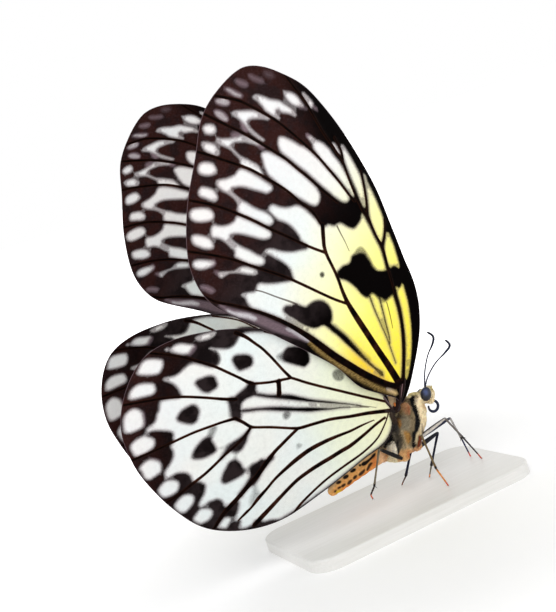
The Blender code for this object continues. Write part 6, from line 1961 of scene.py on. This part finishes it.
def round_edges(bm, edges, radius, segments):
    """The edges bevelled to a radius in mm."""
    bmesh.ops.bevel(bm, geom=edges, offset=radius * MM, segments=segments, profile=0.5, affect="EDGES",
                    clamp_overlap=True)


# ---- plate and body materials ----
def plate_material():
    """Pale lacquer with a faint grain."""
    n = Nodes("stand_lacquer")
    place = n.place()
    grain = n.noise(n.stretch(place, (0.06, 1.4, 1.4)), 1.6, 5.0, 0.6)
    specks = n.noise(place, 6.0, 3.0)
    colour = n.mix(n.ramp(grain, 0.3, 0.7), paint(233, 232, 228), paint(240, 239, 236))
    n.set(Base_Color=n.mix(n.ramp(specks, 0.55, 0.8, 0.0, 0.2), colour, paint(210, 207, 200)))
    n.set(Roughness=n.ramp(grain, 0.2, 0.8, 0.34, 0.48), Specular_IOR_Level=0.4)
    n.bump(n.plus(grain, n.times(specks, 0.3)), 0.01, 0.15)
    return n.material


def fur_material(name, fibre, depth):
    """Skin and tufts: the painted tint, broken up by fine fibres and dust."""
    n = Nodes(name)
    place = n.place()
    tint = n.attribute("tint", "Color")
    mottle = n.noise(place, 1.6, 4.0, 0.6)
    fibres = n.noise(n.stretch(place, (1.4, 6.0, 3.2), (0.0, 0.5, 0.0)), fibre, 3.0, 0.6)
    shade = n.mix(n.ramp(mottle, 0.3, 0.7), (0.92, 0.9, 0.88), (1.3, 1.28, 1.24))
    colour = n.mix(1.0, tint, shade, "MULTIPLY")
    colour = n.mix(n.ramp(fibres, 0.35, 0.75, 0.0, 0.3), colour,
                   n.mix(1.0, colour, (0.55, 0.5, 0.45), "MULTIPLY"))
    height = n.plus(n.times(fibres, 0.8), n.times(mottle, 0.5))
    n.bump(height, depth, 0.8)
    n.set(Base_Color=colour, Roughness=0.85, Specular_IOR_Level=0.12, Sheen_Weight=0.08,
          Sheen_Roughness=0.5)
    return n.material


def cuticle_material(name, roughness, scale):
    """Thin hard skin of legs, feelers and tongue: the painted tint with fine rings and dust."""
    n = Nodes(name)
    place = n.place()
    dust = n.noise(place, scale * 2.2, 4.0, 0.65)
    patches = n.noise(place, scale * 0.4, 3.0)
    tint = n.attribute("tint", "Color")
    shade = n.mix(n.ramp(patches, 0.3, 0.7), (0.75, 0.75, 0.78), (1.2, 1.18, 1.15))
    colour = n.mix(1.0, tint, shade, "MULTIPLY")
    colour = n.mix(n.ramp(dust, 0.55, 0.8, 0.0, 0.05), colour, DUST_GREY)
    n.bump(dust, 0.03, 0.5)
    n.set(Base_Color=colour, Roughness=n.ramp(dust, 0.3, 0.7, roughness - 0.08, roughness + 0.12))
    n.set(Specular_IOR_Level=0.2)
    return n.material


def eye_material():
    """Compound eye: dark facets under a clear gloss; the tint is painted lighter above."""
    n = Nodes("eye_facets")
    place = n.place()
    facets = n.cells(place, 9.0, "Distance", 0.25)
    tint = n.attribute("tint", "Color")
    cloud = n.noise(place, 0.9, 2.0)
    colour = n.mix(n.ramp(cloud, 0.3, 0.7, 0.0, 0.35), tint, EYE_CLOUD)
    colour = n.mix(n.ramp(facets, 0.0, 0.8, 0.08, 0.0), colour, FACET_GLINT)
    n.bump(n.minus(1.0, facets), 0.02, 0.35)
    n.set(Base_Color=colour, Roughness=0.3, Specular_IOR_Level=0.25)
    n.set(Coat_Weight=0.25, Coat_Roughness=0.12)
    return n.material


def make_body():
    """Skin, coat and everything that joins the body, and the plate."""
    mesh, points, normals = make_skin()
    fur = fur_material("body_fur", 1.0, 0.12)
    tints = body_tint(points, normals)
    make_coat(mesh, points, normals, fur)
    mesh.vertices.foreach_set("co", ((points + np.array(INSECT)) * MM).ravel())
    finish_mesh(mesh, "skin", fur, tints,
                ("thorax", "abdomen", "head", "palp_left", "palp_right"))
    make_eyes()
    make_proboscis()
    make_antennae()
    make_legs(fur)
    make_wing_bases()
    make_plate()


# ---- stage ----
def make_camera():
    """The photograph's camera, and the scene's only one."""
    right, up, aim = camera_axes()
    data = bpy.data.cameras.new("camera")
    data.lens = LENS
    data.sensor_width = SENSOR
    data.clip_start = 0.01
    data.clip_end = 20.0
    camera = bpy.data.objects.new("camera", data)
    turn = Matrix((right, up, -aim)).transposed().to_4x4()
    camera.matrix_world = Matrix.Translation(CAMERA_PLACE * MM) @ turn
    bpy.context.scene.collection.objects.link(camera)
    bpy.context.scene.camera = camera


def make_stage():
    """Soft white studio light over a pale floor."""
    scene = bpy.context.scene
    scene.view_settings.view_transform = "Standard"
    world = bpy.data.worlds.new("studio")
    world.use_nodes = True
    nodes, links = world.node_tree.nodes, world.node_tree.links
    backdrop = nodes["Background"]
    backdrop.inputs["Color"].default_value = (1.0, 1.0, 1.0, 1.0)
    seen = nodes.new("ShaderNodeLightPath")
    strength = nodes.new("ShaderNodeMapRange")
    strength.inputs["To Min"].default_value = WORLD_LIGHT
    links.new(seen.outputs["Is Camera Ray"], strength.inputs["Value"])
    links.new(strength.outputs[0], backdrop.inputs["Strength"])
    scene.world = world
    bpy.ops.mesh.primitive_circle_add(vertices=96, radius=FLOOR_RADIUS, fill_type="NGON")
    floor = bpy.context.object
    floor.name = "floor"
    n = Nodes("floor_paint")
    place = n.separate(n.place())
    spread = n.distance(place[0], place[1])
    n.set(Base_Color=n.mix(n.noise(n.place(), 0.5, 3.0), (0.90, 0.90, 0.90), (0.95, 0.95, 0.95)))
    n.set(Roughness=0.9, Specular_IOR_Level=0.1, Emission_Color=(1.0, 1.0, 1.0))
    n.set(Emission_Strength=n.ramp(spread, *FLOOR_FADE, 0.14, 1.0))
    n.bump(n.noise(n.place(), 0.4, 3.0), 0.02, 0.2)
    floor.data.materials.append(n.material)
    for name, place, size, power in LAMPS:
        lamp = bpy.data.lights.new(name, "AREA")
        lamp.energy = power
        lamp.size = size
        light = bpy.data.objects.new(name, lamp)
        light.location = place
        light.rotation_euler = (LAMP_AIM - light.location).to_track_quat("-Z", "Y").to_euler()
        scene.collection.objects.link(light)


make_camera()
make_stage()
make_wings()
make_body()
